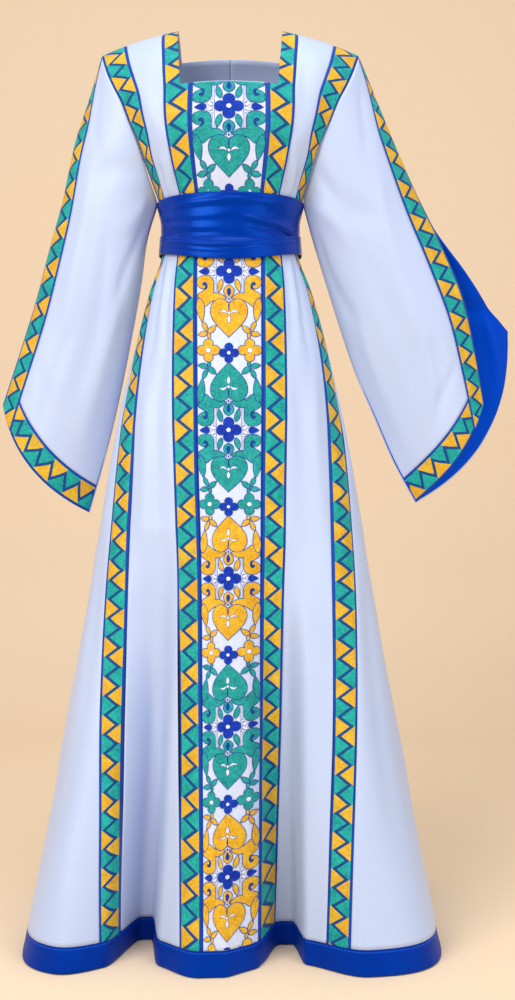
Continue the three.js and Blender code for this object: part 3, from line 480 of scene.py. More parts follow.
def stitched(name, dark, light):
    """Embroidery thread: short satin stitches with lighter and darker runs."""
    material, shader, place = fresh(name, 0.7, 0.06, (1.0, 1.0, 1.0, 1.0), 0.2)
    runs = noise(material, place, 260, 3, 0.7)
    patches = noise(material, place, 60, 2)
    share = maths(material, "MULTIPLY_ADD", runs, 2.2, maths(material, "MULTIPLY_ADD", patches, 0.9, -1.05))
    material.node_tree.links.new(blended(material, share, dark, light), shader.inputs["Base Color"])
    height = maths(material, "MULTIPLY_ADD", stitches(material, place, 90.0, 3.0), 0.6, runs)
    bumped(material, shader, height, 0.45, 0.0005)
    return material


threads = [
    stitched("navy_outline_thread", shade(6, 44, 120), shade(24, 76, 158)),
    stitched("gold_thread", shade(202, 138, 12), shade(238, 194, 54)),
    stitched("teal_thread", shade(6, 118, 120), shade(44, 174, 168)),
    stitched("blue_thread", shade(0, 28, 136), shade(10, 66, 196)),
    stitched("white_thread", shade(200, 206, 236), shade(244, 246, 255)),
]


def curve_through(*spans, steps=7):
    """A line through chained curves. Each span is start, two handles and end."""
    line = []
    for a, b, c, d in spans:
        for k in range(steps):
            t = k / steps
            w = ((1 - t) ** 3, 3 * t * (1 - t) ** 2, 3 * t * t * (1 - t), t**3)
            line.append((sum(w[i] * p[0] for i, p in enumerate((a, b, c, d))),
                         sum(w[i] * p[1] for i, p in enumerate((a, b, c, d)))))
    return line


def leaf(x, y, angle, length, width, full=0.8):
    """A leaf from its stalk end at x, y, pointing along angle in degrees."""
    ux, uy = math.cos(math.radians(angle)), math.sin(math.radians(angle))
    line = []
    for side in (1, -1):
        for k in range(9):
            t = k / 9 if side > 0 else 1 - k / 9
            half = side * width / 2 * math.sin(math.pi * t**full) ** 0.85 if 0 < t < 1 else 0
            line.append((x + ux * length * t - uy * half, y + uy * length * t + ux * half))
    return line


def quatrefoil(x, y, reach, steps=40):
    """A four-petal flower round x, y."""
    line = []
    for k in range(steps):
        angle = 2 * math.pi * k / steps
        r = reach * (0.56 + 0.44 * abs(math.cos(2 * angle)) ** 0.75)
        line.append((x + r * math.cos(angle), y + r * math.sin(angle)))
    return line


def disc(x, y, r, tall=1.0, steps=14):
    return [(x + r * math.cos(2 * math.pi * k / steps), y + r * tall * math.sin(2 * math.pi * k / steps))
            for k in range(steps)]


def mirrored(line):
    return [(-x, y) for x, y in reversed(line)]


def turned_up(line):
    return [(x, -y) for x, y in reversed(line)]


# Half a heart-shaped palmette, and the arm that leaves it for the panel's edge and curls back in a scroll.
half_heart = curve_through(
    ((0, 96), (8, 87), (21, 77), (25.5, 65)), ((25.5, 65), (29, 54), (25, 43), (16, 40)),
    ((16, 40), (9, 38), (3, 42), (0, 47)))
heart = half_heart + [(-x, y) for x, y in reversed(half_heart[1:])]
arm = curve_through(
    ((3, 40), (12, 44), (18, 40), (25, 45)), ((25, 45), (30, 49), (32, 53), (37, 50)),
    ((37, 50), (41, 47), (45, 42), (45, 36)), ((45, 36), (45, 30), (40, 31), (35, 26)),
    ((35, 26), (41, 26), (46, 21), (46, 15)), ((46, 15), (46, 8), (40, 5.5), (33, 5.5)),
    ((33, 5.5), (26, 5.5), (21, 10), (21, 17)), ((21, 17), (21, 22), (21, 26), (21, 31)),
    ((21, 31), (14, 30), (8, 32), (3, 40)))
curl = curve_through(
    ((30, 21), (29, 25), (33, 28.5), (36, 27)), ((36, 27), (34, 25), (33, 23), (34, 20)),
    ((34, 20), (37, 22), (39, 18), (36, 16)), ((36, 16), (33, 14), (30, 17), (30, 21)))


def unit_shapes(colour):
    """One repeat of the design: layer, thread and outline of each shape, flower at the middle."""
    shapes = []

    def add(layer, thread, line, sides=True, both=True):
        shapes.append((layer, thread, line))
        if sides:
            shapes.append((layer, thread, mirrored(line)))
        if both:
            shapes.append((layer, thread, turned_up(line)))
            if sides:
                shapes.append((layer, thread, turned_up(mirrored(line))))

    add(1, colour, arm)
    add(3, GROUND_THREAD, curl)
    add(2, colour, heart, sides=False)
    add(0, WHITE_THREAD, [(17.6, -31), (19.8, -31), (19.8, 31), (17.6, 31)], both=False)
    add(2, colour, leaf(10, 11, 76, 21, 8.5))
    add(3, colour, leaf(0, 19.5, 90, 22, 16), sides=False)
    add(4, BLUE_THREAD, leaf(0, 24, 90, 13, 6), sides=False)
    add(4, WHITE_THREAD, leaf(0, 36.5, 90, 9, 6), sides=False)
    add(5, BLUE_THREAD, disc(0, 40.5, 1.4, 1.5), sides=False)
    # the small white sprig inside the palmette
    add(4, WHITE_THREAD, leaf(0, 64, 90, 12, 5.5), sides=False)
    add(4, WHITE_THREAD, disc(0, 60.5, 2.4), sides=False)
    add(3, WHITE_THREAD, curve_through(((1.5, 62.5), (3, 54), (11.5, 52.5), (14.5, 62)),
                                       ((14.5, 62), (11, 57.5), (7, 58.5), (1.5, 62.5))))
    add(3, GROUND_THREAD, leaf(0, 45, 90, 14, 2.2), sides=False)
    # hanging leaves between the palmette and the panel's edge, ending in a spray of three
    add(2, colour, leaf(42, 37, 97, 38, 12.5))
    add(2, colour, leaf(37.5, 72, 116, 18, 7.5))
    add(2, colour, leaf(30, 89, 221, 17, 9))
    add(2, colour, leaf(28.5, 88, 96, 11, 6))
    add(2, colour, leaf(30, 89.5, 8, 15, 9))
    # sprigs beside the flower, and a blue drop at the panel's edge
    add(2, WHITE_THREAD, leaf(19, 1.5, 28, 10, 5))
    add(2, WHITE_THREAD, disc(20, 8, 2.2))
    add(3, BLUE_THREAD, leaf(27, 0, 0, 16, 10.5, 0.62), both=False)
    add(4, BLUE_THREAD, quatrefoil(0, 0, 18.5), sides=False, both=False)
    add(6, WHITE_THREAD, disc(0, 0, 3.6), sides=False, both=False)
    # the row of three flowers below
    add(3, colour, quatrefoil(29, -113.5, 17), both=False)
    add(5, WHITE_THREAD, disc(29, -113.5, 3.8), both=False)
    add(4, BLUE_THREAD, quatrefoil(0, -117.5, 14.5), sides=False, both=False)
    add(6, WHITE_THREAD, disc(0, -117.5, 2.9), sides=False, both=False)
    return shapes


bm = bmesh.new()
for number, (flower, colour) in enumerate(FLOWERS):
    above = FLOWERS[number - 1][0] - flower if number else ABOVE_FIRST
    below = flower - FLOWERS[number + 1][0] if number + 1 < len(FLOWERS) else BELOW_LAST
    drawn = []
    for layer, thread, line in unit_shapes(colour):
        corners = [bm.verts.new((x, flower + y * (above if y > 0 else below) / (2 * UNIT_HALF), layer))
                   for x, y in line]
        face = bm.faces.new(corners)
        face.material_index = thread
        face.normal_update()
        if face.normal.z < 0:
            face.normal_flip()
        drawn.append(face)
    rim = []
    for line_width, white in ((OUTLINE, False), (WHITE_OUTLINE, True)):
        chosen = [f for f in drawn if (f.material_index == WHITE_THREAD) == white]
        inset = bmesh.ops.inset_individual(bm, faces=chosen, thickness=line_width, use_even_offset=True)
        rim += inset["faces"]
    for face in rim:
        face.material_index = GROUND_THREAD
    found = bmesh.ops.triangulate(bm, faces=drawn + rim)["faces"]
    geom = found + list({e for f in found for e in f.edges}) + list({v for f in found for v in f.verts})
    cuts = [((x, 0, 0), (1, 0, 0)) for x in (*range(-40, 20, 8), *range(20, 47, 3))]
    cuts += [((0, flower + y, 0), (0, 1, 0)) for y in range(-132, 109, 10)]
    for place, direction in cuts:
        geom = bmesh.ops.bisect_plane(bm, geom=geom, dist=0.001, plane_co=place, plane_no=direction)["geom"]
for height, way in ((NECKLINE - 1.2, 1), (HEM_BAND + 0.6, -1)):
    bmesh.ops.bisect_plane(bm, geom=bm.verts[:] + bm.edges[:] + bm.faces[:], dist=0.001,
                           plane_co=(0, height, 0), plane_no=(0, way, 0), clear_outer=True)
panel_n = outward(panel_points, 1)
for vert in bm.verts:
    x, z, layer = vert.co
    row = min(max(float(np.interp(z, panel_rows, np.arange(len(panel_rows)))), 0), len(panel_rows) - 1.001)
    i = int(row)
    half = abs(np.interp(z, panel_rows, panel_from if x < 0 else panel_to))
    s = max(-half + EDGE_MARGIN, min(half - EDGE_MARGIN, x * half / PANEL_HALF))
    low, high = np.interp(z, panel_rows, panel_from), np.interp(z, panel_rows, panel_to)
    column = float(np.interp((s - low) / (high - low), panel_shares, np.arange(len(panel_shares))))
    j = min(int(column), len(panel_shares) - 2)
    p, q = row - i, column - j
    weights = ((i, j, (1 - p) * (1 - q)), (i, j + 1, (1 - p) * q),
               (i + 1, j, p * (1 - q)), (i + 1, j + 1, p * q))
    spot = sum(panel_points[a, b] * w for a, b, w in weights)
    up = sum(panel_n[a, b] * w for a, b, w in weights)
    spot = spot + up * (THREAD_BASE + THREAD_LAYER * layer)
    vert.co = (spot[0] / METRE, spot[1] / METRE, (spot[2] - SHOULDER_HEIGHT) / METRE)
bmesh.ops.dissolve_degenerate(bm, dist=1e-6, edges=bm.edges)
bmesh.ops.triangulate(bm, faces=bm.faces)
for face in bm.faces:
    face.smooth = True
mesh = bpy.data.meshes.new("centre_embroidery")
bm.to_mesh(mesh)
bm.free()
for thread in threads:
    mesh.materials.append(thread)
embroidery = bpy.data.objects.new("centre_embroidery", mesh)
bpy.context.collection.objects.link(embroidery)
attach(embroidery, "root")

# ---------------------------------------------------------------- zigzag bands beside the panel
# A band each side of the flowered panel, from the hem to the shoulder, cut away at the neck. Two rows of
# gold and teal triangles point at each other across a navy zigzag, with a blue line down each edge.
# the navy zigzag, in shares of the band's width: its slope over a repeat, where it turns, half its width
ZIGZAG_SWING = -2.08
ZIGZAG_TURN = 0.76
ZIGZAG_LINE = 0.1


def zigzag_cloth(name, inner_edge, outer_edge):
    """Reads the band's own map: u across from its first edge, v in repeats of the pattern."""
    material, shader, place = fresh(name, 0.62, 0.05, (1.0, 1.0, 1.0, 1.0), 0.2)
    u, v = own_map(material)
    line = maths(material, "MULTIPLY_ADD", maths(material, "PINGPONG", v, 0.25), ZIGZAG_SWING, ZIGZAG_TURN)
    side = maths(material, "SUBTRACT", u, line)
    wobble = maths(material, "MULTIPLY_ADD", noise(material, place, 300, 2), 0.02, -0.01)
    off_line = maths(material, "ADD", maths(material, "ABSOLUTE", side), wobble)
    on_line = maths(material, "LESS_THAN", off_line, ZIGZAG_LINE)
    outer = maths(material, "GREATER_THAN", side, 0.0)
    gold_inner = maths(material, "LESS_THAN", maths(material, "FRACT", maths(material, "ADD", v, 0.25)), 0.5)
    gold_outer = maths(material, "LESS_THAN", maths(material, "FRACT", v), 0.5)
    gold = maths(material, "ADD", maths(material, "MULTIPLY", outer, gold_outer),
                 maths(material, "MULTIPLY", maths(material, "SUBTRACT", 1.0, outer), gold_inner))
    edges = maths(material, "MAXIMUM", maths(material, "LESS_THAN", u, inner_edge),
                  maths(material, "GREATER_THAN", u, 1 - outer_edge))
    runs = noise(material, place, 300, 3, 0.75)
    patches = noise(material, place, 45, 2)
    share = maths(material, "MULTIPLY_ADD", runs, 2.0, maths(material, "MULTIPLY_ADD", patches, 1.0, -1.0))
    yellow = blended(material, share, shade(202, 140, 18), shade(236, 196, 60))
    fleck = maths(material, "MULTIPLY_ADD", noise(material, place, 38, 3, 0.7), 3.0, -1.7)
    yellow = blended(material, fleck, yellow, shade(150, 168, 62))
    green = blended(material, share, shade(0, 122, 124), shade(40, 186, 172))
    navy = blended(material, runs, shade(2, 50, 108), shade(8, 84, 150))
    blue = blended(material, runs, shade(2, 46, 134), shade(12, 80, 186))
    fill = blended(material, gold, green, yellow)
    colour = blended(material, edges, blended(material, on_line, fill, navy), blue)
    material.node_tree.links.new(colour, shader.inputs["Base Color"])
    stitch = stitches(material, place, 80.0, 2.5)
    raised = maths(material, "SUBTRACT", 1.0, maths(material, "MAXIMUM", on_line, edges))
    height = maths(material, "ADD", maths(material, "MULTIPLY_ADD", stitch, 0.3, raised),
                   maths(material, "MULTIPLY", runs, 0.5))
    bumped(material, shader, height, 0.4, 0.0005)
    return material


def sided(side, creases):
    """Creases given for the wearer's left, on either side."""
    return [(side * x0, y0, side * x1, y1, *rest) for x0, y0, x1, y1, *rest in creases]


def front_points(side, rows, s, creases, shoulder=True):
    """A front piece's points: on the body, half a seam gap off at the shoulder, and creased."""
    points = on_body(True, rows, side * s)
    if shoulder:
        points[-1, :, 1] -= SEAM / 2
    return creased(points, side, side * s, rows[:, None], creases)


centre_zigzag = zigzag_cloth("zigzag_centre_band", 0.12, 0.10)
# height above the hem, and the pattern's repeat there
BAND_REPEATS = np.array([
    (0, 11.1), (67, 10), (247, 7), (427, 4), (549.6, 2), (675, 0), (808.5, -2), (949, -4), (1093, -6),
    (1173, -8), (1467, -12.2),
]).T
CENTRE_BAND_CREASES = [
    (66, 1176, 78, 1246, 6, 2.4, 2), (82, 1174, 96, 1230, 5, -1.6, 0), (70, 1064, 76, 960, 8, 1.8, 3),
    (62, 820, 58, 560, 14, -1.8, 5), (70, 480, 66, 200, 12, 2.0, -5), (96, 1440, 90, 1372, 8, 1.2, 2),
]
for word, side in SIDES:
    rows = heights(HEM_BAND + SEAM / 2, SHOULDER, 5.0, (ARMPIT, NECKLINE))
    cuts = [front_cuts(z, side) for z in rows]
    parts = np.array([(c[0] + SEAM / 2, c[1], c[2] - SEAM / 2) for c in cuts])
    shares = np.concatenate((np.linspace(0, 1, 5)[:-1], 1 + np.linspace(0, 1, 8)))
    s = np.array([np.interp(shares, (0, 1, 2), part) for part in parts])
    u = (s - parts[:, :1]) / (parts[:, 2:] - parts[:, :1])
    points = front_points(side, rows, s, sided(side, CENTRE_BAND_CREASES))
    v = np.broadcast_to(np.interp(rows, *BAND_REPEATS)[:, None], s.shape)
    neck = (rows[:, None] >= NECKLINE - 0.01) & (shares <= 1.001)
    band = cloth(f"centre_zigzag_band_{word}", points, side, CLOTH, u, v, [centre_zigzag], drop=neck)
    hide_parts(f"centre_band_{word}")

# ---------------------------------------------------------------- front gores
# The plain satin gore between the two bands of each side, from the hem to the shoulder. Its fullness is
# eased in under the sash, so it puckers above and below the waist.
def satin(name, deep, mid, lit, rough, weave_height=0.25, sheen=0.14, tint=(0.8, 0.88, 1.0, 1.0),
          gloss=0.45):
    """Pale or blue satin: an even colour that shifts a little across the cloth, with a fine weave."""
    material, shader, place = fresh(name, rough, sheen, tint, gloss)
    drift = noise(material, place, 5.0, 2)
    slub = noise(material, place, 420, 2, 0.6)
    base = blended(material, drift, mid, lit)
    colour = blended(material, maths(material, "MULTIPLY_ADD", slub, 0.5, -0.12), base, deep)
    material.node_tree.links.new(colour, shader.inputs["Base Color"])
    worn = maths(material, "MULTIPLY_ADD", slub, 0.14, rough - 0.07)
    material.node_tree.links.new(worn, shader.inputs["Roughness"])
    soft = bumped(material, shader, noise(material, place, 9.0, 3, 0.55), 0.12, 0.006)
    bumped(material, shader, weave(material, place, 2200), weave_height, 0.0003, soft)
    return material


def plain_map(rows, s):
    """A plain piece's own flat map, in decimetres."""
    return s / 100, np.broadcast_to(rows[:, None] / 100, s.shape)


pale_satin = satin("pale_satin", shade(158, 175, 220), shade(185, 199, 230), shade(198, 210, 238), 0.42)
# the row whose width sets how many columns a gore has
GORE_ROW = 60
# distance, height, to distance, height, width, depth, bend: for the wearer's right, then for the left
GORE_CREASES = {
    -1: [
        (-92, 1172, -99, 1262, 5, 3.0, -3), (-104, 1174, -112, 1238, 4.5, -2.6, 2),
        (-114, 1176, -122, 1224, 4, 2.4, 0), (-98, 1262, -120, 1392, 15, 2.2, 6),
        (-128, 1300, -140, 1420, 13, -1.6, -5), (-96, 1062, -102, 905, 7, 3.2, -5),
        (-110, 1066, -122, 960, 5, -2.2, 3), (-124, 1064, -140, 880, 6, 2.8, 5),
        (-104, 930, -112, 560, 17, 3.4, -10), (-140, 860, -146, 520, 15, -2.8, 8),
        (-98, 560, -94, 180, 19, -3.0, 9), (-122, 420, -126, 60, 14, 3.2, -6),
    ],
    1: [
        (94, 1172, 102, 1250, 5, 2.8, 3), (106, 1174, 113, 1232, 4.5, -2.6, -2),
        (116, 1176, 123, 1218, 4, 2.2, 0), (100, 1250, 124, 1400, 14, 2.0, -6),
        (134, 1310, 150, 1430, 14, -1.7, 5), (94, 1064, 100, 890, 8, 3.0, 5),
        (108, 1066, 119, 972, 5, -2.4, -3), (122, 1064, 139, 902, 6, 3.0, -5),
        (108, 880, 118, 500, 18, 3.2, 11), (146, 900, 152, 600, 13, -2.6, -7),
        (96, 520, 92, 160, 17, 2.8, -8), (128, 470, 120, 100, 17, -3.0, 8),
    ],
}
for word, side in SIDES:
    rows = heights(HEM_BAND + SEAM / 2, SHOULDER, 5.5, (ARMPIT,))
    cuts = [front_cuts(z, side) for z in rows]
    shares = across(cuts[GORE_ROW][2], cuts[GORE_ROW][3], 4.6)
    s = np.array([c[2] + SEAM / 2 + (c[3] - c[2] - SEAM) * shares for c in cuts])
    points = front_points(side, rows, s, GORE_CREASES[side])
    gore = cloth(f"plain_gore_{word}", points, side, CLOTH, *plain_map(rows, s), [pale_satin])
    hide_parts(f"front_gore_{word}")

# ---------------------------------------------------------------- princess bands
# The outer zigzag band of each side, from the hem up past the waist and along the armhole to the shoulder.
princess_zigzag = zigzag_cloth("zigzag_princess_band", 0.11, 0.10)
# height above the hem, and the pattern's repeat there: for the wearer's right, then for the left
PRINCESS_REPEATS = {
    -1: np.array([
        (0, -12.15), (61, -11), (220.6, -8), (388, -5), (561, -2), (742, 1), (867, 3), (1467, 12.7),
    ]).T,
    1: np.array([
        (0, 12.5), (78, 11), (235.5, 8), (401.7, 5), (574.6, 2), (758.7, -1), (888.9, -3), (1467, -12.3),
    ]).T,
}
PRINCESS_CREASES = [
    (132, 1178, 128, 1232, 6, 1.8, 2), (140, 1066, 168, 940, 8, 2.4, -4), (180, 800, 184, 540, 14, -2.4, 6),
    (176, 460, 170, 160, 13, 2.4, -5), (166, 1300, 178, 1378, 9, 1.5, 3),
]
for word, side in SIDES:
    rows = heights(HEM_BAND + SEAM / 2, SHOULDER, 5.0, (ARMPIT,))
    cuts = [front_cuts(z, side) for z in rows]
    shares = np.linspace(0, 1, 11)
    s = np.array([c[3] + SEAM / 2 + (c[4] - c[3] - SEAM) * shares for c in cuts])
    points = front_points(side, rows, s, sided(side, PRINCESS_CREASES))
    u = np.broadcast_to(shares, s.shape)
    v = np.broadcast_to(np.interp(rows, *PRINCESS_REPEATS[side])[:, None], s.shape)
    band = cloth(f"princess_zigzag_band_{word}", points, side, CLOTH, u, v, [princess_zigzag])
    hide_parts(f"princess_band_{word}")

# ---------------------------------------------------------------- side panels
# The plain satin between each princess band and the side seam, from the hem to the underarm.
# the width that sets how many columns a panel has
SIDE_WIDTH = 250
SIDE_CREASES = {
    -1: [
        (-172, 1040, -214, 820, 9, 3.0, 5), (-160, 1064, -186, 980, 6, 2.4, 2),
        (-206, 900, -236, 560, 16, -3.2, -8), (-232, 620, -262, 180, 18, 3.6, 9),
        (-300, 520, -340, 120, 22, -3.4, -10), (-150, 1168, -156, 1120, 6, 1.6, 0),
    ],
    1: [
        (174, 1040, 222, 790, 9, 3.2, -5), (160, 1064, 190, 970, 6, 2.2, -2),
        (214, 860, 240, 500, 17, -3.0, 8), (236, 560, 268, 140, 18, 3.4, -9),
        (306, 560, 350, 160, 21, -3.2, 10), (150, 1168, 156, 1120, 6, 1.6, 0),
    ],
}
for word, side in SIDES:
    rows = heights(HEM_BAND + SEAM / 2, ARMPIT - 0.02, 6.5)
    cuts = [front_cuts(z, side) for z in rows]
    shares = across(0, SIDE_WIDTH, 6.5)
    s = np.array([c[4] + SEAM / 2 + (c[5] - c[4] - SEAM) * shares for c in cuts])
    points = front_points(side, rows, s, SIDE_CREASES[side], shoulder=False)
    panel = cloth(f"plain_side_panel_{word}", points, side, CLOTH, *plain_map(rows, s), [pale_satin])
    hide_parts(f"side_panel_{word}")

# ---------------------------------------------------------------- back
# Plain satin, seamed down the centre back. Each half is a skirt from the hem to the waist and a bodice from
# there to the shoulder and the back neck. The sash covers the waist seam.
BACK_WAIST = 1125.0
BACK_PARTS = {
    "skirt": {"from": HEM_BAND + SEAM / 2, "to": BACK_WAIST - SEAM / 2, "flat": (0.640, 1.090),
              "area": (0.398, 0.404)},
    "bodice": {"from": BACK_WAIST + SEAM / 2, "to": SHOULDER, "flat": (0.240, 0.350),
               "area": (0.063, 0.063)},
}
BACK_CREASES = {
    -1: [
        (-40, 1172, -56, 1256, 7, 2.6, 3), (-76, 1174, -92, 1240, 6, -2.2, -3),
        (-112, 1172, -128, 1230, 6, 2.4, 2), (-30, 1060, -44, 900, 8, 3.0, -5),
        (-66, 1078, -96, 930, 7, -2.4, 5), (-108, 1078, -140, 900, 8, 3.0, 6),
        (-60, 900, -84, 540, 18, -3.2, 10), (-150, 900, -196, 480, 18, 3.4, -10),
        (-24, 560, -40, 120, 17, -2.6, 7), (-230, 620, -270, 160, 20, 3.6, 10),
        (-330, 520, -380, 140, 22, -3.2, -10), (-70, 1300, -130, 1390, 16, 2.0, 6),
        (-150, 1280, -172, 1360, 11, -1.6, 3),
    ],
    1: [
        (44, 1172, 60, 1250, 7, 2.6, -3), (80, 1174, 96, 1238, 6, -2.2, 3),
        (116, 1172, 130, 1226, 6, 2.4, -2), (26, 1060, 36, 880, 8, 3.0, 5), (70, 1078, 102, 940, 7, -2.4, -5),
        (112, 1078, 146, 890, 8, 3.0, -6), (66, 880, 92, 520, 18, -3.0, -10),
        (156, 880, 204, 460, 18, 3.4, 10), (30, 520, 48, 140, 17, -2.6, -7),
        (238, 600, 280, 140, 20, 3.4, -10), (336, 540, 388, 120, 22, -3.2, 10),
        (74, 1290, 134, 1384, 16, 2.0, -6), (150, 1290, 174, 1370, 11, -1.6, -3),
    ],
}
for part, sizes in BACK_PARTS.items():
    for word, side in SIDES:
        rows = heights(sizes["from"], sizes["to"], 6.5, (ARMPIT, BACK_NECK))
        necks, ends = [], []
        for z in rows:
            s_ring, x_ring = ring(float(z), False)[:2]
            ends.append(s_ring[-1] - SEAM / 2)
            necks.append(float(np.interp(table_at(NECK, max(float(z), NECKLINE))[1], x_ring, s_ring)))
        inner, outer = np.linspace(0, 1, 12), np.linspace(0, 1, 44)[1:]
        shares = np.concatenate((inner, 1 + outer))
        s = np.array([np.interp(shares, (0, 1, 2), (SEAM / 2, neck, end)) for neck, end in zip(necks, ends)])
        points = on_body(False, rows, side * s)
        if part == "bodice":
            points[-1, :, 1] += SEAM / 2
        points = creased(points, -side, side * s, rows[:, None], BACK_CREASES[side])
        neck = (rows[:, None] >= BACK_NECK - 0.01) & (shares <= 1.001)
        panel = cloth(f"plain_back_{part}_{word}", points, -side, CLOTH, *plain_map(rows, s), [pale_satin],
                      drop=neck)
        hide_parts(f"back_{part}_{word}")

# ---------------------------------------------------------------- hem band
# A folded band of blue satin round the hem, seamed at the sides, topstitched along its upper edge.
# the row of topstitching: its share up the band, and half its width
STITCH_ROW = 0.9
STITCH_HALF = 0.022
hem_satin, hem_shader, hem_place = fresh("hem_blue_satin", 0.5, 0.0, (0.02, 0.2, 1.0, 1.0), 0.2)
hem_round, hem_up = own_map(hem_satin)
hem_run = maths(hem_satin, "PINGPONG", hem_round, 0.5)
hem_off_row = maths(hem_satin, "ABSOLUTE", maths(hem_satin, "SUBTRACT", hem_up, STITCH_ROW))
hem_high = maths(hem_satin, "LESS_THAN", hem_off_row, STITCH_HALF)
hem_stitch = maths(hem_satin, "MULTIPLY", hem_high, maths(hem_satin, "GREATER_THAN", hem_run, 0.16))
hem_drift = noise(hem_satin, hem_place, 14, 3)
hem_cloth = blended(hem_satin, hem_drift, shade(4, 38, 126), shade(4, 56, 166))
hem_colour = blended(hem_satin, hem_stitch, hem_cloth, shade(30, 82, 200))
hem_satin.node_tree.links.new(hem_colour, hem_shader.inputs["Base Color"])
hem_relief = maths(hem_satin, "MULTIPLY_ADD", hem_stitch, -1.0, hem_drift)
hem_soft = bumped(hem_satin, hem_shader, hem_relief, 0.35, 0.0012)
bumped(hem_satin, hem_shader, weave(hem_satin, hem_place, 2200), 0.2, 0.0003, hem_soft)
for word, front in (("front", True), ("back", False)):
    rows = np.array([0, 1.2, 4, 8, 13, 18, 23, 28, 31.5, 33, 34.4, HEM_BAND - SEAM / 2])
    s = []
    for z in rows:
        end = ring(float(z), front)[0][-1] - SEAM / 2
        s.append(np.linspace(-end, end, 260))
    s = np.array(s)
    points = on_body(front, rows, s)
    n = outward(points, 1 if front else -1)
    # the folded edge is a little fuller than the sewn one, with small drags between them
    full = 0.9 * np.exp(-(((rows - 4) / 6) ** 2)) - 0.5 * np.exp(-(((rows - 33) / 1.6) ** 2))
    ripple = 0.5 * np.sin(s / 31 + 1.7 * np.sin(s / 83)) * np.sin(np.pi * rows / HEM_BAND)[:, None]
    points = points + n * (full[:, None] + ripple)[..., None]
    u, v = s / 5, np.broadcast_to(rows[:, None] / HEM_BAND, s.shape)
    band = cloth(f"blue_hem_band_{word}", points, 1 if front else -1, CLOTH, u, v, [hem_satin])
    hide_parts(f"hem_band_{word}")

# ---------------------------------------------------------------- sleeves
# Each sleeve is a front and a back, sewn along the underarm fold and over the arm down to the split. A
# zigzag band borders the front's free edge and its cuff. Blue satin lines the open, lower part.
SPLIT = 0.49
SLEEVE_BAND = 55.0
CUFF_BAND = 52.0
CUFF_REPEAT = 58.0
LINING = 1.0
LINING_TOP = 0.4
# about how long a sleeve is, for turning a seam gap into a share of it
SLEEVE_LENGTH = 420
# the band's share of the width at the shoulder
BAND_AT_SHOULDER = 0.085
# gap at the underarm, where the sleeve leaves the body, and how far out and up it moves there
UNDERARM_GAP = 2.2
UNDERARM_OUT = 2.4
UNDERARM_UP = 1.2
# share down, over-arm x and height, underarm x and height, depth front and back, roundness front and back
SLEEVES = {
    "right": {
        "side": -1, "bow": (26, 21), "open": (-8, 34, 1),
        "sections": np.array([
            (0, 212, 1418, 118, 1175, 68, 60, 1, 1), (0.12, 232, 1349, 136, 1115, 65, 58, 1, 1),
            (0.25, 256, 1276, 146, 1047, 60, 56, 0.9, 1), (0.4, 277, 1182, 159, 970, 54, 53, 0.8, 0.9),
            (0.55, 299, 1101, 174, 892, 49, 50, 0.7, 0.8), (0.7, 322, 1013, 191, 814, 44, 46, 0.5, 0.7),
            (0.85, 348, 929, 210, 740, 39, 42, 0.3, 0.5), (1, 376, 843, 232, 664, 34, 38, 0.2, 0.4),
        ]),
    },
    "left": {
        "side": 1, "bow": (14, 56), "open": (57, 100, 130),
        "sections": np.array([
            (0, 212, 1418, 118, 1175, 68, 60, 1, 1), (0.12, 240, 1349, 135, 1113, 65, 58, 0.95, 1),
            (0.25, 271, 1274, 155, 1047, 60, 56, 0.8, 0.9), (0.4, 308, 1190, 179, 971, 54, 52, 0.55, 0.8),
            (0.55, 349, 1107, 205, 895, 48, 48, 0.3, 0.6), (0.7, 384, 1022, 236, 823, 42, 42, 0.1, 0.4),
            (0.85, 404, 934, 268, 749, 36, 36, 0, 0.2), (1, 419, 845, 305, 680, 31, 30, 0, 0.2),
        ]),
    },
}
LINE = np.arange(81) / 80


def sleeve_line(sleeve, front, t):
    """The curve across one half of a sleeve, from the over-arm edge to the underarm fold."""
    side = sleeve["side"]
    row = table_at(sleeve["sections"], t)
    _, over_x, over_z, under_x, under_z, front_deep, back_deep, front_round, back_round = row
    parted = 0.0 if front else max(0.0, (t - SPLIT) / (1 - SPLIT))
    open_x, open_y, open_z = sleeve["open"]
    eased = parted**1.1
    over = np.array([side * (over_x + open_x * parted**2.1), open_y * eased, over_z + open_z * eased])
    under = np.array([side * under_x, 0.0, under_z])
    deep, rounded = (-front_deep, front_round) if front else (back_deep, back_round)
    bow = sleeve["bow"][0 if front else 1] * smooth((t - 0.5) / 0.5)
    slant = math.hypot(over[0] - under[0], over[2] - under[2])
    angle = np.pi * LINE
    share = min(max(rounded, 0.0), 1.0)
    w = (1 - (LINE + ((1 - np.cos(angle)) / 2 - LINE) * share))[:, None]
    bulge = np.sin(angle)[:, None]
    push = np.array([side * bow * (over[2] - under[2]) / slant, deep, -bow * abs(over[0] - under[0]) / slant])
    return under + (over - under) * w + push * bulge


def spaced(line, shares):
    """Points of a line at shares of its length."""
    length = along(*line.T)
    places = np.asarray(shares) * length[-1]
    return np.stack([np.interp(places, length, line[:, k]) for k in range(3)], axis=-1)


def armhole(side, front):
    """The body's armhole edge, from the shoulder tip to the underarm point."""
    rows = np.linspace(SHOULDER, ARMPIT + 0.001, 90)
    return np.array([[values[-1 if side > 0 else 0] for values in ring(float(z), front)[1:]] for z in rows])


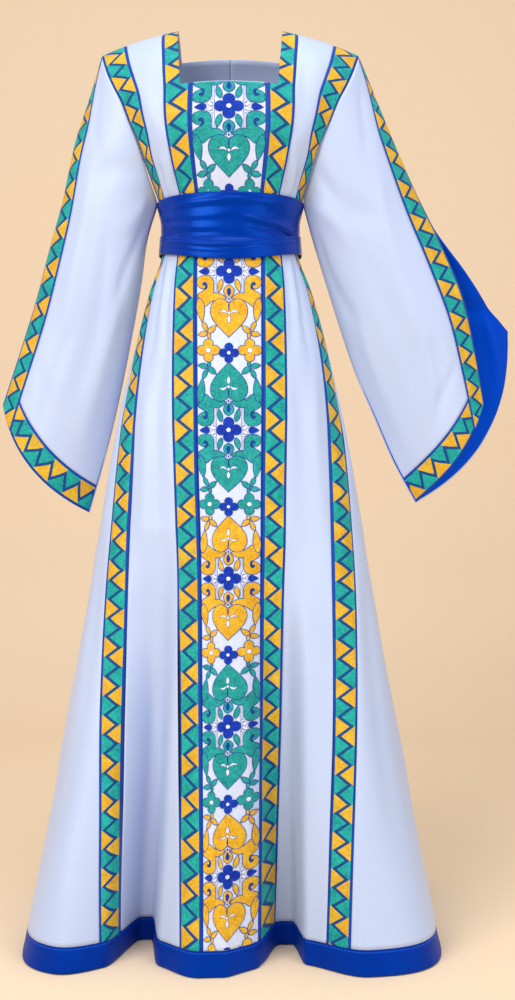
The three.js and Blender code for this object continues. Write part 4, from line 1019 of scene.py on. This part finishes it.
def sleeve_grid(sleeve, front, rows, distances):
    """Points of a sleeve's outer face. distances gives, for the width of a row, shares across it."""
    hole = armhole(sleeve["side"], front)
    first = sleeve_line(sleeve, front, 0.0)
    grid = []
    for t in rows:
        line = sleeve_line(sleeve, front, float(t))
        shares = distances(along(*line.T)[-1], float(t))
        points = spaced(line, shares)
        fade = 1 - smooth(t / 0.3)
        if fade > 0:
            points = points + (spaced(hole, shares) - spaced(first, shares)) * fade
        grid.append(points)
    grid = np.array(grid)
    # the first row stands just off the armhole, further at the underarm, where the sleeve leaves the body
    if rows[0] == 0:
        low = smooth((0.55 - (1 - distances(300.0, 0.0))) / 0.4)
        away = grid[1] - grid[0]
        away /= np.linalg.norm(away, axis=1, keepdims=True)
        grid[0] += away * (SEAM + (UNDERARM_GAP - SEAM) * low)[:, None]
        grid[0, :, 0] += sleeve["side"] * UNDERARM_OUT * low
        grid[0, :, 2] += UNDERARM_UP * low
    return grid


def cuff_start(sleeve):
    """The share down a sleeve at which its cuff band starts."""
    first, last = sleeve["sections"][0], sleeve["sections"][-1]
    return 1 - CUFF_BAND / math.hypot(first[1] - last[1], first[2] - last[2])


# the flat map's width and length, then each crease: across and down it, to the same, width, depth, bend
FLAT_WIDE = 200
FLAT_LONG = 480
SLEEVE_CREASES = {
    ("right", True): [
        (150, 20, 60, 150, 11, 3.6, 10), (178, 30, 120, 130, 8, -2.8, -6), (184, 60, 150, 210, 7, 3.2, 6),
        (70, 110, 84, 330, 16, -3.2, 8), (116, 150, 122, 400, 15, 3.6, -9), (158, 190, 160, 420, 13, -3.0, 6),
        (90, 300, 96, 452, 13, 2.6, 5), (62, 380, 150, 440, 14, 1.8, -6), (40, 20, 60, 90, 10, 1.8, 3),
    ],
    ("left", True): [
        (154, 18, 76, 170, 10, 3.8, -9), (180, 34, 130, 150, 8, -3.0, 6), (186, 70, 166, 230, 7, 3.0, -5),
        (66, 120, 92, 340, 17, -3.4, -9), (124, 160, 128, 410, 15, 3.4, 8),
        (164, 220, 170, 430, 12, -2.8, -5), (80, 330, 110, 430, 12, 3.4, 8), (60, 390, 140, 430, 11, 2.8, -8),
        (44, 22, 66, 96, 10, 1.8, -3),
    ],
    ("right", False): [
        (150, 20, 70, 160, 11, 3.6, -9), (180, 40, 130, 150, 8, -2.8, 6), (80, 120, 90, 350, 16, -3.0, -8),
        (130, 160, 130, 420, 15, 3.4, 9), (40, 240, 50, 440, 13, 2.6, 5), (166, 230, 164, 440, 12, -2.6, 5),
    ],
    ("left", False): [
        (150, 20, 74, 170, 11, 3.6, 9), (182, 44, 134, 160, 8, -2.8, -6), (84, 130, 96, 360, 16, -3.0, 8),
        (136, 170, 130, 430, 15, 3.4, -9), (44, 250, 60, 330, 9, 2.6, 5), (36, 344, -2, 444, 8, -6.0, 2),
        (12, 404, 60, 472, 9, 4.0, 4), (50, 380, 100, 478, 10, -4.0, -5),
        (60, 400, 130, 440, 10, -2.4, 6), (168, 240, 166, 440, 12, -2.6, -5),
    ],
}
sleeve_zigzag = zigzag_cloth("zigzag_sleeve_band", 0.10, 0.09)
cuff_zigzag = zigzag_cloth("zigzag_cuff_band", 0.09, 0.10)
lining_satin = satin("lining_blue_satin", shade(0, 26, 112), shade(0, 64, 198), shade(0, 84, 226), 0.5,
                     0.25, 0.0, (0.02, 0.2, 1.0, 1.0), 0.3)


def flat_places(rows, shares):
    """Places on a sleeve's own flat map, from shares down and shares across."""
    flat_x = np.broadcast_to(np.asarray(shares) * FLAT_WIDE, (len(rows), np.shape(shares)[-1]))
    return flat_x, np.broadcast_to(np.asarray(rows)[:, None] * FLAT_LONG, flat_x.shape)


def square_to(points, middle):
    """How far along a band's middle line each point lies, measured square to that line."""
    run = np.gradient(middle, axis=0)
    run /= np.linalg.norm(run, axis=1, keepdims=True)
    return along(*middle.T)[:, None] + ((points - middle[:, None]) * run[:, None]).sum(axis=2)


def band_edge(width, t):
    """Where the front's zigzag band ends, as a share across: it is narrower over the shoulder."""
    return SLEEVE_BAND / width + (BAND_AT_SHOULDER - SLEEVE_BAND / width) * (1 - smooth(t / 0.2))


def placed(word, front, rows, low, high, count):
    """A stretch of a sleeve between two lines, low and high, with its seam gaps and its creases."""
    sleeve = SLEEVES[word]
    facing = sleeve["side"] if front else -sleeve["side"]
    spread = np.linspace(0, 1, count)

    def distances(width, t):
        a = (low(width, t) if low else 0.0) + SEAM / 2 / width
        b = (high(width, t) if high else 1.0) - SEAM / 2 / width
        return a + (b - a) * spread

    grid = sleeve_grid(sleeve, front, rows, distances)
    widths = [along(*sleeve_line(sleeve, front, float(t)).T)[-1] for t in rows]
    shares = np.array([distances(width, float(t)) for width, t in zip(widths, rows)])
    creases = SLEEVE_CREASES[(word, front)]
    return creased(grid, facing, *flat_places(rows, shares), creases, seam_dip=0.5), facing


# last inner gold triangle of each sleeve's band, up from the cuff, and the length of one repeat
SLEEVE_REPEAT = {"right": (51.0, 64.0), "left": (33.0, 58.0)}
for word, sleeve in SLEEVES.items():
    side = sleeve["side"]
    cuff = cuff_start(sleeve)
    down = np.concatenate(([0.0], np.linspace(0.012, cuff, 92)))
    to_cuff = np.concatenate((down[:-1], [cuff], np.linspace(cuff, 1, 12)[1:]))
    seam_step = SEAM / 2 / SLEEVE_LENGTH

    front_rows = np.concatenate((down[:-1], [cuff - seam_step]))
    points, facing = placed(word, True, front_rows, band_edge, None, 44)
    u, v = flat_places(front_rows, np.linspace(0, 1, 44))
    front_cloth = cloth(f"sleeve_front_cloth_{word}", points, facing, CLOTH, u / 100, v / 100, [pale_satin])
    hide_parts(f"sleeve_front_{word}")

    points, facing = placed(word, True, to_cuff, None, band_edge, 11)
    u = np.broadcast_to(np.linspace(0, 1, 11), points.shape[:2])
    last, repeat = SLEEVE_REPEAT[word]
    v = (along(*points[:, 5].T)[-1] - last - square_to(points, points[:, 5])) / repeat
    band = cloth(f"sleeve_zigzag_band_{word}", points, facing, CLOTH, u, v, [sleeve_zigzag])
    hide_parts(f"sleeve_band_{word}")

    cuff_rows = np.linspace(cuff + seam_step, 1, 13)
    points, facing = placed(word, True, cuff_rows, band_edge, None, 44)
    u = np.broadcast_to(np.linspace(0, 1, 13)[:, None], points.shape[:2])
    v = -square_to(points.transpose(1, 0, 2), points[6]).T / CUFF_REPEAT
    band = cloth(f"cuff_zigzag_band_{word}", points, facing, CLOTH, u, v, [cuff_zigzag])
    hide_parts(f"cuff_band_{word}")

    points, facing = placed(word, False, to_cuff, None, None, 52)
    u, v = flat_places(to_cuff, np.linspace(0, 1, 52))
    back_cloth = cloth(f"sleeve_back_cloth_{word}", points, facing, CLOTH, u / 100, v / 100, [pale_satin])
    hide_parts(f"sleeve_back_{word}")

    for half, front in (("front", True), ("back", False)):
        rows = np.linspace(LINING_TOP, 0.996, 60)
        points, facing = placed(word, front, rows, None, None, 44)
        points = points - outward(points, facing) * (CLOTH + SEAM)
        u, v = flat_places(rows, np.linspace(0, 1, 44))
        lining = cloth(f"blue_lining_{half}_{word}", points, facing, LINING, u / 100, v / 100, [lining_satin])
        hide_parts(f"sleeve_lining_{half}_{word}")

# ---------------------------------------------------------------- sash
# Royal blue satin wound twice round the waist: a wide draped turn, and a narrow one over its lower edge.
SASH_CLOTH = 1.6
# least distance of the sash's face from the dress's, its rolls' strength, millimetres to a degree round the
# waist, and decimetres round the map
SASH_LEAST = 2.4
ROLL_STRENGTH = 1.35
PER_DEGREE = 1.9
SASH_ROUND = 6.8
SASH_TOP = 1170.0
DIP_FRONT = 1063.0
DIP_SIDE = 1086.0
# share up the turn, distance off the dress
UPPER_TURN = np.array([(0, 3.0), (0.2, 3.4), (0.42, 4.6), (0.6, 3.6), (0.8, 4.4), (1, 3.2)])
LOWER_TURN = np.array([(0, 4.6), (0.3, 6.2), (0.7, 6.6), (1, 6.4)])
# round the waist in degrees from the centre front towards the wearer's left, share up, to the same, width
# in millimetres, height of the roll and bend: a draped sash's soft rolls and dents
UPPER_ROLLS = [
    (-74, 0.14, 40, 0.13, 3, 3.0, 2), (-50, 0.8, 28, 0.86, 4, 1.5, 3), (-62, 0.56, -34, 0.5, 4, -1.8, 2),
    (-75, 0.12, 40, 0.20, 5, 2.4, 3), (-60, 0.34, 20, 0.30, 7, -1.6, 4), (-80, 0.62, 30, 0.74, 8, 1.8, -5),
    (8, 0.62, 70, 0.2, 3, 4.2, 7), (18, 0.46, 74, 0.08, 4, -3.2, 6), (-20, 0.88, 60, 0.82, 6, 1.4, 3),
    (-70, 0.48, -10, 0.44, 6, 1.2, -3), (30, 0.70, 80, 0.52, 7, -1.6, -4), (100, 0.30, 175, 0.36, 7, 1.8, 4),
    (110, 0.70, 178, 0.62, 8, 1.6, -4), (-178, 0.36, -100, 0.28, 7, 1.8, -4),
    (-175, 0.62, -110, 0.76, 8, 1.6, 5), (120, 0.50, 170, 0.50, 6, -1.6, 3),
    (-170, 0.50, -120, 0.52, 6, -1.6, -3),
]
LOWER_ROLLS = [
    (-62, 0.84, 40, 0.84, 3, 1.6, 1), (-40, 0.66, 30, 0.64, 3, -1.2, -1),
    (-80, 0.72, 30, 0.66, 4, 1.2, 2), (-60, 0.3, 10, 0.34, 5, -1.0, -2), (10, 0.5, 80, 0.7, 5, 1.0, 2),
    (90, 0.6, 178, 0.5, 5, 1.0, 2), (-178, 0.5, -95, 0.62, 5, 1.0, -2),
]
sash_satin = satin("sash_royal_satin", shade(0, 22, 100), shade(0, 40, 140), shade(0, 50, 160), 0.3, 0.2, 0.0,
                   (0.02, 0.2, 1.0, 1.0), 1.0)


def sash_turn(name, profile, rolls, low, high, rows):
    """One turn of the sash, between two heights round the waist, with its rolls."""
    columns = 300
    turns = np.arange(columns) / columns
    ups = np.linspace(0, 1, rows)
    degrees = np.where(turns < 0.5, -90 + 360 * turns, 90 + 360 * (turns - 0.5))
    degrees = np.where(degrees > 180, degrees - 360, degrees)
    points = np.empty((rows, columns, 3))
    n = np.empty((rows, columns, 3))
    for j, turn in enumerate(turns):
        front = turn < 0.5
        share = (turn if front else 1 - turn) * 2
        facing = math.sin(math.pi * share) ** 2 if front else 0.0
        z = low(facing) + (high(facing) - low(facing)) * ups
        for i, height in enumerate(z):
            level = float(min(height, ARMPIT - 0.5))
            s_ring, x_ring, y_ring = ring(round(level, 0), front)[:3]
            place = s_ring[0] + (s_ring[-1] - s_ring[0]) * share
            behind_x, x, ahead_x = np.interp((place - 2, place, place + 2), s_ring, x_ring)
            behind_y, y, ahead_y = np.interp((place - 2, place, place + 2), s_ring, y_ring)
            dx, dy = ahead_x - behind_x, ahead_y - behind_y
            way = 1 if front else -1
            length = math.hypot(dx, dy)
            points[i, j] = (x, y, height)
            n[i, j] = (dy / length * way, -dx / length * way, 0)
    out = np.array([table_at(profile, up)[1] for up in ups])[:, None] + np.zeros((rows, columns))
    flat_x = np.broadcast_to(degrees * PER_DEGREE, out.shape)
    flat_y = np.broadcast_to(ups[:, None] * 100, out.shape)
    for d0, u0, d1, u1, width, tall, bend in rolls:
        t, away = crease_course(flat_x, flat_y, d0 * PER_DEGREE, u0 * 100, d1 * PER_DEGREE, u1 * 100, bend)
        roll = ROLL_STRENGTH * tall * np.exp(-((away / width) ** 2))
        out = out + roll * smooth((t + 0.1) / 0.3) * smooth((1.05 - t) / 0.35)
    out = np.maximum(out, SASH_LEAST)
    points = points + n * out[..., None]
    turns_u = np.broadcast_to(np.append(turns, 1.0) * SASH_ROUND, (rows, columns + 1))
    return cloth(name, points, -1, SASH_CLOTH, turns_u, np.broadcast_to(ups[:, None], (rows, columns + 1)),
                 [sash_satin], closed=True)


def dip(facing):
    """Height of the sash's lower edge, lower in front than at the sides."""
    return DIP_SIDE + (DIP_FRONT - DIP_SIDE) * facing


upper = sash_turn("sash_draped_turn", UPPER_TURN, UPPER_ROLLS, lambda f: dip(f) + 6, lambda f: SASH_TOP, 44)
lower = sash_turn("sash_narrow_turn", LOWER_TURN, LOWER_ROLLS, dip, lambda f: dip(f) + 30, 18)
for piece, solid, flat, area in ((upper, "sash_upper_turn", (0.110, 0.720), 0.056),
                                 (lower, "sash_lower_turn", (0.031, 0.730), 0.021)):
    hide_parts(solid)

# ---------------------------------------------------------------- floor, backdrop, light and camera
# A plain pale studio: a floor just under the hem that curves up into the wall behind, and soft lights.
# metres: the floor under the hem, and where it starts to curve up
UNDER_HEM = 0.0015
WALL_START = 1.6
studio = bpy.data.materials.new("studio_paper")
studio.use_nodes = True
paper = studio.node_tree.nodes["Principled BSDF"]
paper.inputs["Base Color"].default_value = shade(246, 219, 187)
paper.inputs["Roughness"].default_value = 0.9
# paper seen from its back is clear, so that the dress's own back can be looked at through it
clear = studio.node_tree.nodes.new("ShaderNodeBsdfTransparent")
backside = studio.node_tree.nodes.new("ShaderNodeNewGeometry")
one_sided = studio.node_tree.nodes.new("ShaderNodeMixShader")
studio.node_tree.links.new(backside.outputs["Backfacing"], one_sided.inputs["Fac"])
studio.node_tree.links.new(paper.outputs["BSDF"], one_sided.inputs[1])
studio.node_tree.links.new(clear.outputs["BSDF"], one_sided.inputs[2])
surface = studio.node_tree.nodes["Material Output"].inputs["Surface"]
studio.node_tree.links.new(one_sided.outputs["Shader"], surface)
bm = bmesh.new()
bmesh.ops.create_grid(bm, x_segments=1, y_segments=1, size=6.0)
for vert in bm.verts:
    vert.co.z = -SHOULDER_HEIGHT / METRE - UNDER_HEM
    if vert.co.y > 0:
        vert.co.y = WALL_START
far = [e for e in bm.edges if all(v.co.y > WALL_START - 0.1 for v in e.verts)]
for rise in ((0, 0.45, 0.12), (0, 0.33, 0.33), (0, 0.12, 0.45), (0, 0, 4.5)):
    made = bmesh.ops.extrude_edge_only(bm, edges=far)["geom"]
    bmesh.ops.translate(bm, verts=[g for g in made if isinstance(g, bmesh.types.BMVert)], vec=rise)
    far = [g for g in made if isinstance(g, bmesh.types.BMEdge)]
bmesh.ops.recalc_face_normals(bm, faces=bm.faces)
if min(bm.faces, key=lambda f: f.calc_center_median().y).normal.z < 0:
    bmesh.ops.reverse_faces(bm, faces=bm.faces)
for face in bm.faces:
    face.smooth = True
mesh = bpy.data.meshes.new("studio_backdrop")
bm.to_mesh(mesh)
bm.free()
mesh.materials.append(studio)
backdrop = bpy.data.objects.new("studio_backdrop", mesh)
bpy.context.collection.objects.link(backdrop)

# what the lamps point at, then each one's name, place, size, power and colour
LIT_POINT = np.array((0.0, 0.0, -0.75))
for name, place, size, power, colour in (
    ("key_light", (-1.7, -2.6, 0.9), 1.9, 70, (1.0, 0.97, 0.93)),
    ("fill_light", (2.1, -2.4, 0.1), 2.2, 28, (0.96, 0.98, 1.0)),
    ("top_light", (0.2, -0.6, 1.9), 1.6, 22, (1.0, 1.0, 1.0)),
):
    light = bpy.data.lights.new(name, "AREA")
    light.energy, light.size, light.color = power, size, colour
    lamp = bpy.data.objects.new(name, light)
    bpy.context.collection.objects.link(lamp)
    lamp.location = place
    aim = LIT_POINT - np.array(place)
    tilt, turn = math.atan2(math.hypot(aim[0], aim[1]), -aim[2]), math.atan2(aim[1], aim[0])
    lamp.rotation_euler = (tilt, 0, turn - math.pi / 2)
world = bpy.data.worlds.new("studio_air")
world.use_nodes = True
world.node_tree.nodes["Background"].inputs["Color"].default_value = (0.86, 0.93, 1.0, 1.0)
world.node_tree.nodes["Background"].inputs["Strength"].default_value = 0.6
bpy.context.scene.world = world

camera = bpy.data.cameras.new("camera")
camera.sensor_fit = "VERTICAL"
camera.sensor_height = 36
camera.lens = 46.87
eye = bpy.data.objects.new("camera", camera)
eye.location = (0.0446, -2.15, -0.775)
eye.rotation_euler = (math.pi / 2, 0, 0)
bpy.context.collection.objects.link(eye)
bpy.context.scene.camera = eye
bpy.context.scene.view_settings.view_transform = "Standard"
